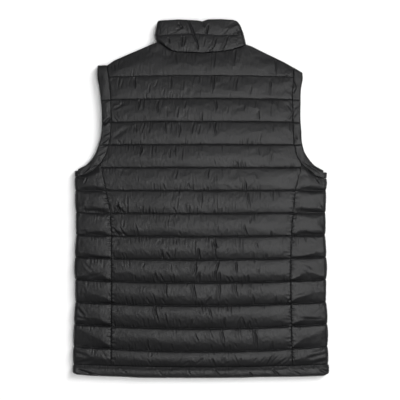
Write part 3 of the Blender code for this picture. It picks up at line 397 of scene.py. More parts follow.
# More of the back's folds: for each depth and half width, the ends of the troughs.
SMALL_FOLDS = {
    (1.6, 1.5): (
        (-126.2, 104.1, -130.5, 96.5), (-48.0, 196.7, -51.6, 173.4), (-31.9, 210.5, -35.5, 194.9),
        (-139.0, 159.1, -138.0, 142.9), (-1.4, 159.1, -6.1, 139.4), (-65.2, 108.9, -66.8, 87.4),
        (-39.1, 110.7, -40.9, 82.0), (75.2, 80.2, 80.3, 70.0), (-80.9, 33.7, -76.6, 18.5),
        (-27.4, 32.5, -21.1, 19.4), (-59.1, -18.8, -52.8, -31.3), (-47.4, -68.2, -42.4, -79.5),
        (108.3, -39.2, 104.7, -53.2),
    ),
    (1.3, 1.5): (
        (-54.1, -87.9, -52.8, -97.4), (-89.9, -89.0, -94.4, -99.6), (-54.6, -104.8, -57.8, -129.0),
        (-12.5, -86.7, -12.5, -120.0), (15.1, -116.1, 9.7, -126.3), (30.0, -107.1, 28.7, -117.7),
        (58.6, -107.1, 53.6, -116.1), (89.3, -86.7, 89.3, -120.0), (117.9, -91.3, 122.8, -106.4),
        (-169.1, -116.1, -164.6, -129.0), (-163.0, -116.1, -157.8, -129.0),
        (-120.2, -136.5, -125.2, -147.8), (-64.6, -138.8, -63.0, -156.9),
        (-58.2, -159.1, -57.3, -177.3), (39.1, -134.3, 29.1, -151.2), (76.9, -138.8, 76.9, -161.4),
        (126.0, -147.8, 124.2, -161.4), (17.4, -161.4, 19.6, -177.3),
        (-141.5, -163.7, -140.1, -177.3), (-122.9, -164.8, -120.7, -177.3),
        (-103.5, -202.1, -95.8, -224.8), (-75.4, -190.8, -71.8, -213.5),
        (24.2, -208.9, 16.5, -222.5), (103.4, -190.8, 107.0, -208.9), (52.7, -213.5, 58.1, -224.8),
        (-60.0, -255.6, -59.6, -274.3), (-7.5, -237.5, -0.7, -247.6),
        (-8.4, -251.0, -15.2, -264.6), (116.0, -255.6, 119.2, -269.1),
        (-123.9, -255.6, -122.0, -275.2), (-113.2, -255.6, -112.1, -275.2),
        (-28.8, -315.5, -27.9, -325.7), (21.0, -287.2, 26.4, -300.8), (45.9, -307.6, 51.3, -321.2),
        (71.7, -309.9, 78.5, -320.1), (-23.4, -346.8, -40.1, -358.1), (53.6, -337.7, 46.3, -349.9),
        (60.4, -349.0, 51.3, -358.1), (87.1, -340.0, 82.5, -354.5), (121.5, -340.0, 114.2, -349.9),
        (-104.4, -330.2, -108.9, -338.6), (-102.6, -348.6, -107.6, -355.8),
        (48.4, -80.8, 57.0, -63.6),
    ),
    (2.0, 1.6): (
        (-87.2, -107.1, -79.9, -129.0), (-74.1, -113.9, -66.4, -129.0),
        (-5.3, -104.8, -1.6, -128.1), (26.0, -89.7, 36.8, -106.0), (30.0, -118.4, 34.1, -129.0),
        (-96.7, -161.4, -91.3, -177.3), (-87.2, -161.4, -79.9, -177.3),
        (-8.4, -145.6, -15.2, -164.4), (30.0, -152.4, 32.3, -176.6), (40.7, -156.9, 40.7, -177.3),
        (54.9, -165.3, 60.8, -177.3), (64.0, -165.9, 69.9, -177.3),
        (-117.1, -211.2, -109.4, -224.8), (-83.1, -213.5, -76.8, -224.8),
        (-76.8, -244.2, -70.9, -275.2), (-46.9, -257.8, -43.7, -273.7),
        (105.2, -260.1, 105.6, -274.8), (-62.7, -309.9, -60.9, -325.7),
        (-13.0, -289.5, -5.3, -305.3), (22.6, -312.1, 23.0, -325.7), (6.1, -340.0, -9.1, -354.5),
    ),
    (1.0, 1.4): (
        (-166.8, 256.7, -172.2, 237.0), (-109.5, 246.0, -111.3, 227.1),
        (-90.7, 256.7, -99.6, 237.0), (-76.3, 238.8, -82.6, 221.2), (-36.9, 256.7, -39.6, 220.5),
        (-73.6, 197.6, -72.7, 173.4), (59.1, 197.6, 56.3, 184.1), (-143.0, 156.4, -144.8, 141.1),
        (-121.5, 152.8, -123.3, 124.1), (20.4, 160.3, 18.3, 151.0), (-54.8, 111.9, -53.6, 99.9),
        (-28.7, 113.0, -27.6, 101.7), (-79.0, 80.2, -82.1, 70.0), (27.2, 85.6, 31.5, 70.4),
        (108.3, 242.4, 105.5, 220.9), (147.8, 256.7, 150.6, 244.8), (98.8, 208.9, 98.8, 180.3),
        (150.1, 204.2, 151.6, 173.1), (129.8, 142.0, 125.8, 123.6), (152.1, 102.6, 147.8, 75.9),
        (121.5, 111.0, 126.7, 91.9), (-167.3, 60.8, -173.6, 49.1), (-136.3, 50.6, -134.3, 37.1),
        (32.8, 56.3, 34.1, 20.1), (118.8, 59.0, 121.5, 42.3), (-157.3, 9.9, -156.0, -25.6),
        (-98.1, -18.4, -97.1, -29.7), (-47.4, 8.8, -51.4, -25.6), (33.7, 11.0, 35.0, -29.7),
        (-165.0, -44.4, -166.6, -61.8), (-71.3, -39.9, -69.8, -76.1),
    ),
    (0.6, 1.5): (
        (-155.2, 259.4, -153.0, 240.6), (-62.9, 233.4, -67.7, 219.1), (-0.7, 235.2, -2.9, 220.5),
        (63.4, 226.3, 59.5, 215.5), (-10.0, 259.4, -10.8, 247.8), (-27.6, 197.6, -29.7, 166.8),
        (20.4, 188.6, 20.4, 167.1), (-111.3, 152.8, -112.2, 141.1), (-98.5, 110.7, -97.5, 98.1),
        (-140.8, 109.8, -143.0, 94.6), (123.9, 189.8, 123.9, 165.9), (154.9, 160.0, 154.9, 142.0),
        (132.2, 103.8, 132.0, 90.2), (-50.5, 41.6, -55.5, 26.4), (-18.8, 56.3, -16.6, 29.1),
        (80.3, 56.3, 83.0, 33.2), (73.5, -1.4, 72.4, -25.6), (144.1, -10.5, 142.3, -30.1),
        (35.0, -38.7, 36.4, -75.4), (86.2, -42.1, 86.2, -75.4),
    ),
}
for size, ends in SMALL_FOLDS.items():
    FOLDS["back"] += table(FOLD_COLUMNS, *((*end, *size) for end in ends))
FADE = 0.8  # power by which a fold or a pucker fades towards its ends
FOLD_WEIGHT = {"collar_shell": 0.9, "armhole_left": 1.4, "armhole_right": 1.3, "hem_channel": 1.6}

# Puckers that run from the stitching, in loose groups drawn at random.
PUCKER_WEIGHT = 0.9
FRONT_PUCKERS = 0.8
HEM_PUCKERS = 0.6
COLLAR_PUCKERS = 0.4
PUCKER_LEANS = (-6.0, 5.0)  # lean of the puckers down a baffle, at the top and at the hem
PUCKER_FEET = (0.30, 0.62)  # share of the puckers that rise from a baffle's foot
USUAL_FEET = 0.36
FIRST_GROUP, LAST_GROUP = (2, 12), 4.0  # distance from the start and from the end of the span
GROUP_SIZE = (1, 6)  # fewest puckers in a group, and one more than the most
GROUP_GAP = (3, 22)
PUCKER_GAP = (3.6, 8.5)
GROUP_LEAN, PUCKER_LEAN = 2.5, 1.5  # how much the leans vary
FALLING_REACH = (0.14, 0.50)  # share of its baffle that a pucker crosses
RISING_REACH = (0.10, 0.34)
DEEPER_REACH = (0.8, 0.6)  # a deeper pucker runs further
PUCKER_DEPTH = (0.35, 1.9)  # the least, and what the deepest has more
PUCKER_RARITY, TICK_RARITY = 1.8, 1.5  # powers that make the deep ones rare
PUCKER_HALF = (1.1, 2.0)
PUCKER_WIDENS = (0.7, 0.6)  # share of its half width at its start, and what its end has more
PUCKER_START = (0.3, 5)  # how a pucker deepens from the stitching on
RISING_DEPTH = 0.8
BACK_SPAN, FRONT_SPAN, SIDE_SPAN = (-215, 215), (0, 215), (200, 262)
HEM_SPAN, COLLAR_SPAN = (-262, 262), (-95, 95)

# Gathers down the side seams.
TICKS_FROM, TICKS_TO = 30.0, -345.0
TICK_GAP = (4.0, 11.0)
TICK_REACH = (4, 11)
TICK_HALF = (1.3, 1.9)
TICK_LEAN = 0.12
TICK_DEPTH = (1.2, 2.6)
TICKS_END = 16  # distance from the seam that no gather passes

# Sewing thread and the zip's teeth.
STITCH_LENGTH = 3.2
THREAD = 0.27  # half the thickness of a stitch
THREAD_SHARE = 0.78  # of a stitch's length that shows
THREAD_SHOULDER = 0.45  # how far from its middle a stitch is thick, as a share of what shows
TOOTH_PITCH = 1.45  # from a tooth to the next one, of the other side
TOOTH_OUTLINE = (
    (-0.75, -0.45), (-0.95, 0.0), (-0.75, 0.45), (0.35, 0.62), (1.2, 0.40), (3.0, 0.50),
    (3.0, -0.50), (1.2, -0.40), (0.35, -0.62),
)
TOOTH_MIDDLE = 1.4  # x towards which a tooth narrows
TEETH_LEVELS = ((5.65, 0.0), (5.0, 0.0), (4.75, 0.22))  # height, and how much it narrows
TEETH_FOOT_Y, TEETH_TOP_Y = -379.5, 324.0

# Simulation, in scene units of a hundredth of a metre.
SIM_SCALE = 0.01
SIM_FRAMES = 20
SIM_ROUGH = 0.045  # unevenness that starts the puckers
SIM_SETTINGS = {
    "quality": 5,
    "mass": 0.02,
    "tension_stiffness": 15,
    "compression_stiffness": 15,
    "shear_stiffness": 6,
    "bending_stiffness": 0.1,
    "tension_damping": 5,
    "compression_damping": 5,
    "shear_damping": 5,
    "vertex_group_mass": "held",
    "use_pressure": True,
    "uniform_pressure_force": 0.05,
    "shrink_min": -0.006,  # cloth to spare between the stitches
}
SEED = 11  # of the back
SIDE_SEED, BAND_SEED, HEM_SEED, COLLAR_SEED, FRONT_SEED = 21, 31, 41, 51, 61

# Grid steps in millimetres, and angles in degrees round a folded side.
COLUMN_STEP = 1.6
ROW_STEP = 2.5
FRONT_STEP = 3.2
NEAR_LINE = (0.45, 1.0, 1.8)  # finer steps beside a line of stitching
SHOULDER_WIDTH = 108
SHOULDER_COLUMNS = round(SHOULDER_WIDTH / COLUMN_STEP)
NECK_COLUMNS = round((NECK_RIGHT - NECK_LEFT) / COLUMN_STEP)
HEM_COLUMNS, COLLAR_COLUMNS = (340, 91), (170, 41)  # above, and on each side below
SIDE_WIDTH, SIDE_STEPS, FIRST_STEP = 74, 38, 0.025
BAND_STEPS = (22, 1.8, (0.35, 0.8))  # width, step and the finer steps at both its edges
HEM_STEPS = (20, 1.6, (0.4, 0.9))
FRONT_WIDTH = 190
FRONT_RIM = 8  # width over which a front rises from its edges
FINE_ANGLES = np.linspace(0, 180, 13)
TOP_ENDS = 20  # folds are laid in up to this angle
REST_BEGINS = 100  # from this angle on the cloth rests and is held

# Materials and light.
NOISE_RANGE = (0.3, 0.7)  # the part of a noise's range that is spread out
WEAVE_UNEVEN = 0.4
PAPER, PAPER_ROUGH = (0.9, 0.9, 0.9, 1), 0.9
DAYLIGHT, DAYLIGHT_STRENGTH = (1, 1, 1, 1), 0.15


def mix(low, high, share):
    """The value at a share of the way from low to high."""
    return low + (high - low) * share


def ease(share):
    """A smooth step from 0 to 1."""
    share = np.clip(share, 0.0, 1.0)
    return share * share * (3 - 2 * share)


def above_zero(value):
    """The value, or 0 where it is negative."""
    return np.maximum(0.0, value)


def along(x, points):
    """The y of a line of points at x."""
    return np.interp(x, [p.x for p in points], [p.y for p in points])


def smooth(x, xs, ys):
    """A smooth curve through the points of a table, read at x."""
    xs, ys = np.asarray(xs, float), np.asarray(ys, float)
    slopes = np.gradient(ys, xs)
    k = np.clip(np.searchsorted(xs, x) - 1, 0, len(xs) - 2)
    span = xs[k + 1] - xs[k]
    t = np.clip((x - xs[k]) / span, 0.0, 1.0)
    start = (1 + 2 * t) * (1 - t) ** 2 * ys[k] + t * (1 - t) ** 2 * span * slopes[k]
    return start + t * t * (3 - 2 * t) * ys[k + 1] - t * t * (1 - t) * span * slopes[k + 1]


def reaches(rows, side):
    """A side's column in a table of distances from the centre."""
    return [row.left if side < 0 else row.right for row in rows]


def by_height(rows, y, side):
    """A side's distance from the centre in a table sorted downwards."""
    rows = rows[::-1]
    return smooth(y, [row.y for row in rows], reaches(rows, side))


def line_y(line, x):
    """Height of a whole quilting line, or of the hem seam, at x."""
    share = (x / BOW_AT) ** 2
    if line >= HEM_LINE:
        return HEM_SEAM_Y + HEM_SEAM_BOW * share
    return FIRST_LINE_Y - LINE_PITCH * (line - 1) + LINE_BOW * (line - LEVEL_LINE) * share


def neck_drop(x):
    """Share of the front neckline's drop at x, none at the two folds."""
    end = np.where(x < 0, NECK_LEFT, NECK_RIGHT)
    return above_zero(1 - (x / end) ** 2)


def neck_gap(x):
    """How much deeper the neck seam lies at the left, where the collar stands off it."""
    return NECK_GAP * ease((NECK_GAP_END - x) / NECK_GAP_RUN)


def top_y(x, front):
    """Height of the shoulder line and the neck seam."""
    y = along(x, TOP_EDGE)
    return y - FRONT_NECK_DROP * neck_drop(x) if front else y


def baffle(row):
    """The line above a row, and the row's share of the way to the next line."""
    line = int(np.floor(row + 1e-9))
    return line, row - line


def on_line(row):
    """Whether a row lies on a line of stitching."""
    return abs(row - round(row)) < TINY


def row_y(row, x, front=False):
    """Height at x of a row, counted in quilting lines down from the top edge."""
    line, share = baffle(row)
    above = line_y(line, x) if line > 0 else top_y(x, front)
    return mix(above, line_y(line + 1, x), share) if share > 0 else above


def trim(first, last):
    """How far below its seam a piece's first row lies, or above it its last."""
    return SEAM if first else -SEAM if last else 0.0


def spread(length, step, near=NEAR_LINE):
    """Shares from 0 to 1 along a length, closer together at both its ends."""
    ends = np.array((0.0, *near)) / length
    count = max(1, round((length - 2 * near[-1]) / step))
    inner = np.linspace(ends[-1], 1 - ends[-1], count + 1)[1:-1]
    return np.concatenate([ends, inner, 1 - ends[::-1]])


def rows_between(first, last, step=ROW_STEP):
    """Fine rows from first to last, with one on every quilting line between them."""
    marks = [first, *range(int(np.floor(first)) + 1, int(np.ceil(last))), last]
    rows = []
    for low, high in zip(marks[:-1], marks[1:]):
        tall = LINE_PITCH * (high - low) * (LAST_BAFFLE if low >= HEM_LINE - 1 else 1)
        rows += list(low + (high - low) * spread(tall, step)[:-1])
    return [*rows, last]


def panel_edge(y, side):
    """Distance from the centre of the seam that ends the back panel."""
    band = ARMHOLE[side][: BAND_CORNER + 1][::-1]
    if y > band[0].seam_y:
        return smooth(y, [p.seam_y for p in band], [p.seam_x for p in band])
    return by_height(SIDE_SEAM, y, side)


def row_end(row, side):
    """Plan point where a row meets the seam that ends the back panel."""
    x = side * ARMHOLE[side][BAND_CORNER].seam_x
    for _ in range(SETTLING):
        x = side * panel_edge(row_y(row, x), side)
    return float(x), float(row_y(row, x))


def dive_between(high, low):
    """Share of the padding's height at distances from the stitching on both its sides."""
    return (1 - np.exp(-above_zero(high) / DIVE)) * (1 - np.exp(-above_zero(low) / DIVE))


def filling(baffles, line, share, tall, room, at, plan):
    """Outside radius at a share of the way down a baffle tall mm high.

    room is the distance from the seam that ends the baffle, and at the place along it."""
    quilt = baffles[line]
    stitched = mix(quilt.stitch, baffles[min(line + 1, HEM_LINE)].stitch, share)
    ridge = smooth(at, plan.places, quilt.ridges) + plan.sway * sway(room, line)
    ridge = np.clip(ridge, 1 - HIGHEST_RIDGE, HIGHEST_RIDGE)
    slump = np.minimum(1.0, smooth(at, plan.places, quilt.slumps))
    bend = np.interp(at, plan.places, plan.bends)
    above = 1 - quilt.rise * above_zero(1 - share / ridge) ** 2
    foot = 1 - slump * above_zero((share - ridge) / (1 - ridge)) ** bend
    full = np.minimum(1.0, above_zero(tall) / FULL_BAFFLE) ** FULLNESS
    beside = SEAM_LOFT + (1 - SEAM_LOFT) * (1 - np.exp(-above_zero(room) / SEAM_EASE))
    dive = dive_between(share * tall, (1 - share) * tall)
    return stitched + (quilt.crown - stitched) * dive * above * foot * full * beside


def sway(run, line):
    """An uneven wave along a baffle, of about unit size."""
    return sum(wave.size * np.sin(run / wave.length + wave.shift * line) for wave in SWAYS)


def turned(x, y, angle, radius, out):
    """Points at radius from the middle plane, turned by angle towards out."""
    sine, cosine = np.sin(np.radians(angle)), np.cos(np.radians(angle))
    parts = x + out[0] * radius * sine, y + out[1] * radius * sine, MIDDLE_Z + radius * cosine
    return np.stack(np.broadcast_arrays(*parts), axis=-1)


def fold_radius(angle, over, edge, under):
    """Outside radius at an angle of a fold, from its three main radii."""
    flat = np.where(angle < 90, over, under)
    return mix(edge, flat, np.cos(np.radians(angle)) ** 2)


def inside_radius(angle):
    """Inside radius at an angle of a fold."""
    return INSIDE + SLIT * np.sin(np.radians(angle)) ** 2


def new_mesh(name, points, faces):
    """An object in metres from points in millimetres."""
    data = bpy.data.meshes.new(name)
    data.from_pydata((np.asarray(points, float) * MM).tolist(), [], faces)
    data.update()
    data.shade_smooth()
    thing = bpy.data.objects.new(name, data)
    bpy.context.scene.collection.objects.link(thing)
    return thing


def grid_index(rows, columns, ring=False):
    """Numbers of a grid's points, with its first row again at the end of a ring."""
    index = np.arange(rows * columns).reshape(rows, columns)
    return np.vstack([index, index[:1]]) if ring else index


def grid_faces(index):
    """Quads between the points of a grid."""
    corners = index[:-1, :-1], index[1:, :-1], index[1:, 1:], index[:-1, 1:]
    return np.stack(corners, axis=-1).reshape(-1, 4)


def fix_normals(thing, cut_last=False):
    """Turn a closed mesh's faces outwards, once a last face of many sides is cut up."""
    mesh = bmesh.new()
    mesh.from_mesh(thing.data)
    if cut_last:
        mesh.faces.ensure_lookup_table()
        bmesh.ops.triangulate(mesh, faces=[mesh.faces[-1]])
    bmesh.ops.recalc_face_normals(mesh, faces=mesh.faces)
    mesh.to_mesh(thing.data)
    mesh.free()


def slab(name, outer, inner, ring=False):
    """A closed wall between two grids of points, round a ring or between two ends."""
    index = grid_index(*outer.shape[:2], ring)
    count = outer.shape[0] * outer.shape[1]
    faces = [grid_faces(index), grid_faces(index + count)[:, ::-1]]
    edges = [index[:, 0][::-1], index[:, -1]]
    if not ring:
        edges += [index[0], index[-1][::-1]]
    for edge in edges:
        here, ahead = edge[:-1], edge[1:]
        faces.append(np.stack([ahead, ahead + count, here + count, here], axis=-1))
    points = np.concatenate([outer.reshape(-1, 3), inner.reshape(-1, 3)])
    thing = new_mesh(name, points, np.concatenate(faces).tolist())
    fix_normals(thing)
    return thing


def panel_with_flat_inside(name, outer, inner):
    """A closed piece whose plain flat inside is one face round the grid's border."""
    index = grid_index(*outer.shape[:2])
    border = [*index[0, :-1], *index[:-1, -1], *index[-1, :0:-1], *index[:0:-1, 0]]
    ring = [index.size + k for k in range(len(border))]
    faces = grid_faces(index).tolist()
    for k in range(len(border)):
        n = (k + 1) % len(border)
        faces.append([border[k], border[n], ring[n], ring[k]])
    faces.append(ring)
    points = np.concatenate([outer.reshape(-1, 3), inner.reshape(-1, 3)[border]])
    thing = new_mesh(name, points, faces)
    fix_normals(thing, cut_last=True)
    return thing


# One piece of cloth before its simulation: its outside and inside points, the points
# that are stitched down or rest on the surface, and the rows where it is stitched across.
Cloth = namedtuple("Cloth", "outer inner held marks")


def layers(x, y, angle, radius, held, out=(0, 0)):
    """A row of a cloth: its outside, its inside and which of its points are held."""
    inside = turned(x, y, angle, inside_radius(angle), out)
    return turned(x, y, angle, radius, out), inside, held


def cloth_of(rows, marks):
    """A cloth from the layers of its rows."""
    return Cloth(*(np.array(part) for part in zip(*rows)), marks)


def strips(cloth):
    """The parts of a cloth between its lines of stitching."""
    return [slice(low, high + 1) for low, high in zip(cloth.marks[:-1], cloth.marks[1:])]


def sim_cloth(points, held, facing):
    """A strip of cloth that pressure will fill out between its held points."""
    data = bpy.data.meshes.new("sim")
    faces = grid_faces(grid_index(*held.shape))[:, ::facing]
    data.from_pydata((points.reshape(-1, 3) * SIM_SCALE).tolist(), [], faces.tolist())
    thing = bpy.data.objects.new("sim", data)
    bpy.context.scene.collection.objects.link(thing)
    group = thing.vertex_groups.new(name="held")
    group.add(np.nonzero(held.ravel())[0].tolist(), 1.0, "REPLACE")
    modifier = thing.modifiers.new("cloth", "CLOTH")
    modifier.point_cache.frame_start, modifier.point_cache.frame_end = 1, SIM_FRAMES
    for setting, value in SIM_SETTINGS.items():
        setattr(modifier.settings, setting, value)
    modifier.settings.effector_weights.gravity = 0
    return thing


def inflate(cloths):
    """Fill pieces of cloth with padding, by simulation; returns their outside points."""
    made = []
    for cloth in cloths:
        corner = cloth.outer[1:, 1:]
        down, across = corner - cloth.outer[:-1, 1:], corner - cloth.outer[1:, :-1]
        turn = np.sum(np.cross(down, across) * (cloth.outer - cloth.inner)[1:, 1:])
        facing = 1 if turn > 0 else -1
        made += [sim_cloth(cloth.outer[part], cloth.held[part], facing) for part in strips(cloth)]
    scene = bpy.context.scene
    for number in range(1, SIM_FRAMES + 1):
        scene.frame_set(number)
    graph = bpy.context.evaluated_depsgraph_get()
    results, waiting = [], iter(made)
    for cloth in cloths:
        outer = cloth.outer.copy()
        for part in strips(cloth):
            posed = next(waiting).evaluated_get(graph)
            mesh = posed.to_mesh()
            found = np.empty(len(mesh.vertices) * 3, np.float32)
            mesh.vertices.foreach_get("co", found)
            posed.to_mesh_clear()
            free = ~cloth.held[part]
            outer[part][free] = (found.reshape(outer[part].shape) / SIM_SCALE)[free]
        results.append(outer)
    for thing in made:
        data = thing.data
        bpy.data.objects.remove(thing)
        bpy.data.meshes.remove(data)
    scene.frame_set(1)
    return results


def trough(across, form):
    """Depth of a trough of a form, at distances from its middle in half widths."""
    away = np.abs(across)
    return np.exp(-(away**form.power)) - FOLD_LIP * np.exp(-((away - form.lip) ** 2))


def crease_depth(x, line, share):
    """How far the main folds of the back take its outside in."""
    depth = np.zeros(len(x))
    for number, fold in enumerate(CREASES):
        falling = fold.start < CREASE_JOINS
        start, end = (0.0, fold.end) if falling else (fold.start, 1.0)
        if fold.line != line or not start < share < end:
            continue
        t = (share - start) / (end - start)
        wave = CREASE_SWAY * np.sin(2 * np.pi * (t + CREASE_SHIFT * number))
        half = CREASE_HALF * (CREASE_WIDENS[0] + CREASE_WIDENS[1] * np.sin(np.pi * t))
        across = (x - fold.x - fold.lean * (share - start) - wave) / half
        reach = (1 - t if falling else t) ** CREASE_FADE
        reach = reach * ease(FADE_IN * t) * ease(FADE_IN * (1 - t))
        depth += CREASE_DEPTH * fold.depth * reach * trough(across, CREASE_TROUGH)
    return depth


def fold_depth(name, x, y):
    """How far a piece's single folds take its outside in at plan points."""
    depth = np.zeros(len(x))
    for fold in FOLDS[name]:
        run = np.array((fold.x1 - fold.x0, fold.y1 - fold.y0))
        length = np.hypot(*run)
        away = np.stack([x - fold.x0, y - fold.y0], axis=-1)
        t = away @ run / length**2
        across = (away[:, 0] * run[1] - away[:, 1] * run[0]) / (length * fold.half)
        near = (t > 0) & (t < 1) & (np.abs(across) < TROUGH_REACH)
        reach = (1 - np.abs(2 * t[near] - 1) ** 3) ** FADE
        weight = FOLD_WEIGHT.get(name, 1.0) * fold.depth
        depth[near] += weight * reach * trough(across[near], FOLD_TROUGH)
    return depth


# A small pucker that runs from a line of stitching: where, whether it falls from the line
# above or rises from the one below, the share it crosses, its lean, depth and half width.
Pucker = namedtuple("Pucker", "x falls reach lean depth half")


def random_puckers(random, span, weight, lean=0.0, foot=USUAL_FEET):
    """Puckers along one baffle, in loose groups, a share of them from its foot."""
    made = []
    x = span[0] + random.uniform(*FIRST_GROUP)
    while x < span[1] - LAST_GROUP:
        falls = random.random() > foot
        group_lean = random.normal(lean, GROUP_LEAN)
        for _ in range(int(random.integers(*GROUP_SIZE))):
            deep = random.random() ** PUCKER_RARITY
            reach = random.uniform(*(FALLING_REACH if falls else RISING_REACH))
            reach *= DEEPER_REACH[0] + DEEPER_REACH[1] * deep
            leans = random.normal(group_lean, PUCKER_LEAN) * (1 if falls else -1)
            depth = weight * (PUCKER_DEPTH[0] + PUCKER_DEPTH[1] * deep)
            depth *= 1 if falls else RISING_DEPTH + foot
            made.append(Pucker(x, falls, reach, leans, depth, random.uniform(*PUCKER_HALF)))
            x += random.uniform(*PUCKER_GAP)
        x += random.uniform(*GROUP_GAP)
    return made


def pucker_depth(x, share, puckers):
    """How far a baffle's small puckers take its outside in."""
    share = np.broadcast_to(share, x.shape)
    depth = np.zeros(len(x))
    for pucker in puckers:
        away = share if pucker.falls else 1 - share
        t = np.clip(away / pucker.reach, 0, 1)
        half = pucker.half * (PUCKER_WIDENS[0] + PUCKER_WIDENS[1] * t)
        across = (x - pucker.x - pucker.lean * away) / half
        near = (np.abs(across) < TROUGH_REACH) & (t < 1)
        fade = (1 - t[near]) ** FADE * ease(t[near] * PUCKER_START[1] + PUCKER_START[0])
        depth[near] += pucker.depth * fade * trough(across[near], PUCKER_TROUGH)
    return depth


# A small pucker that runs from a side seam: its height, reach, lean, depth, half width.
Tick = namedtuple("Tick", "y reach lean depth half")


def random_ticks(random):
    """Puckers down one side seam."""
    made = []
    y = TICKS_FROM
    while y > TICKS_TO:
        depth = TICK_DEPTH[0] + TICK_DEPTH[1] * random.random() ** TICK_RARITY
        half = random.uniform(*TICK_HALF)
        reach, lean = random.uniform(*TICK_REACH), random.normal(0, TICK_LEAN)
        made.append(Tick(y, reach, lean, depth, half))
        y -= random.uniform(*TICK_GAP)
    return made


def tick_depth(y, room, ticks):
    """How far a side seam's puckers take the cloth in, room mm from the seam."""
    depth = np.zeros(len(room))
    near = room < TICKS_END
    away = room[near]
    for tick in ticks:
        across = (y[near] - tick.y - tick.lean * away) / tick.half
        fade = np.clip(1 - away / tick.reach, 0, 1) ** FADE
        depth[near] += tick.depth * fade * trough(across, PUCKER_TROUGH)
    return depth


def back_columns(row):
    """The x of each fine column of the back at a row."""
    low, high = row_end(row, -1)[0] + SEAM, row_end(row, 1)[0] - SEAM
    left = np.linspace(low + NEAR_LINE[-1], NECK_LEFT, SHOULDER_COLUMNS + 1)[:-1]
    right = np.linspace(NECK_RIGHT, high - NEAR_LINE[-1], SHOULDER_COLUMNS + 1)[1:]
    middle = np.linspace(NECK_LEFT, NECK_RIGHT, NECK_COLUMNS + 1)
    fine = np.array((0.0, *NEAR_LINE[:-1]))
    return np.concatenate([low + fine, left, middle, right, high - fine[::-1]])


def back_cloth():
    """The quilted back, from the hem seam up to the shoulders and the neck."""
    random = np.random.default_rng(SEED)
    gathers = []
    for line in range(HEM_LINE):
        down = line / HEM_LINE
        lean, foot = mix(*PUCKER_LEANS, down), mix(*PUCKER_FEET, down)
        gathers.append(random_puckers(random, BACK_SPAN, PUCKER_WEIGHT, lean, foot))
    gathers.append([])  # none along the hem seam
    ticks = {side: random_ticks(random) for side in (-1, 1)}
    rows = rows_between(0, HEM_LINE)
    made = []
    for row in rows:
        x = back_columns(row)
        line, share = baffle(row)
        y = row_y(row, x) - trim(row == 0, row == HEM_LINE)
        tall = row_y(line, x) - line_y(line + 1, x)
        left, right = x - x[0], x[-1] - x
        radius = filling(
            BACK_BAFFLES, line, share, tall, np.minimum(left, right), x, BACK_SPREAD
        )
        held = np.full(len(x), on_line(row))
        held[[0, -1]] = True
        rough = SIM_ROUGH * random.normal(size=len(x)) - crease_depth(x, line, share)
        rough -= pucker_depth(x, share, gathers[line])
        rough -= tick_depth(y, left, ticks[-1])
        rough -= tick_depth(y, right, ticks[1])
        rough -= fold_depth("back", x, y)
        height = radius + np.where(held, 0.0, rough)
        if row == 0:
            height -= neck_gap(x) * (x > NECK_LEFT)
        made.append(layers(x, y, 0, np.maximum(height, THINNEST), held))
    return cloth_of(made, [k for k, row in enumerate(rows) if on_line(row)])


def side_top_y(x, side):
    """Height of the armhole band's seam over the side panel."""
    band = ARMHOLE[side][BAND_CORNER:]
    return smooth(np.abs(x), [p.seam_x for p in band], [p.seam_y for p in band])


def fold_x(y, side):
    """Centre of the folded side at a height."""
    return side * (by_height(SIDE_EDGE, y, side) - FOLD)


SIDE_SHARES = np.concatenate(
    [np.array((0.0, *NEAR_LINE[:-1])) / SIDE_WIDTH, np.linspace(FIRST_STEP, 1, SIDE_STEPS)]
)
SIDE_COLUMNS = (
    [(share, 0.0) for share in SIDE_SHARES[:-1]]
    + [(1.0, angle) for angle in FINE_ANGLES]
    + [(share, 180.0) for share in SIDE_SHARES[-2::-1]]
)


def groove(y, x, first):
    """Depth at a point of the underside of the nearest quilting line's groove."""
    depth = np.zeros_like(y)
    for line in range(first, HEM_LINE):
        away = np.abs(y - line_y(line, x)) / GROOVE
        depth = np.maximum(depth, GROOVE_DEPTH * (1 - ease(away)) ** GROOVE_STEEP)
    return depth


def side_rows(side):
    """Rows of a side panel: each as a row of the back, and its share of the top baffle."""
    corner = row_end(BAND_CORNER_LINE, side)[1]
    foot = row_end(TOP_SIDE + 1, side)[1]
    upper = mix(BAND_CORNER_LINE, TOP_SIDE + 1, spread(corner - foot, ROW_STEP)[:-1])
    shares = [(row_end(row, side)[1] - foot) / (corner - foot) for row in upper]
    return list(zip(upper, shares)) + [(row, None) for row in rows_between(TOP_SIDE + 1, HEM_LINE)]


def side_place(row, rise, x, side):
    """Height at x of a side panel's row, its baffle's height, and its share down it."""
    if rise is None:
        return row_y(row, x), FULL_BAFFLE, baffle(row)[1]
    top, foot = side_top_y(x, side), line_y(TOP_SIDE + 1, x)
    return mix(foot, top, rise), top - foot, 1 - rise


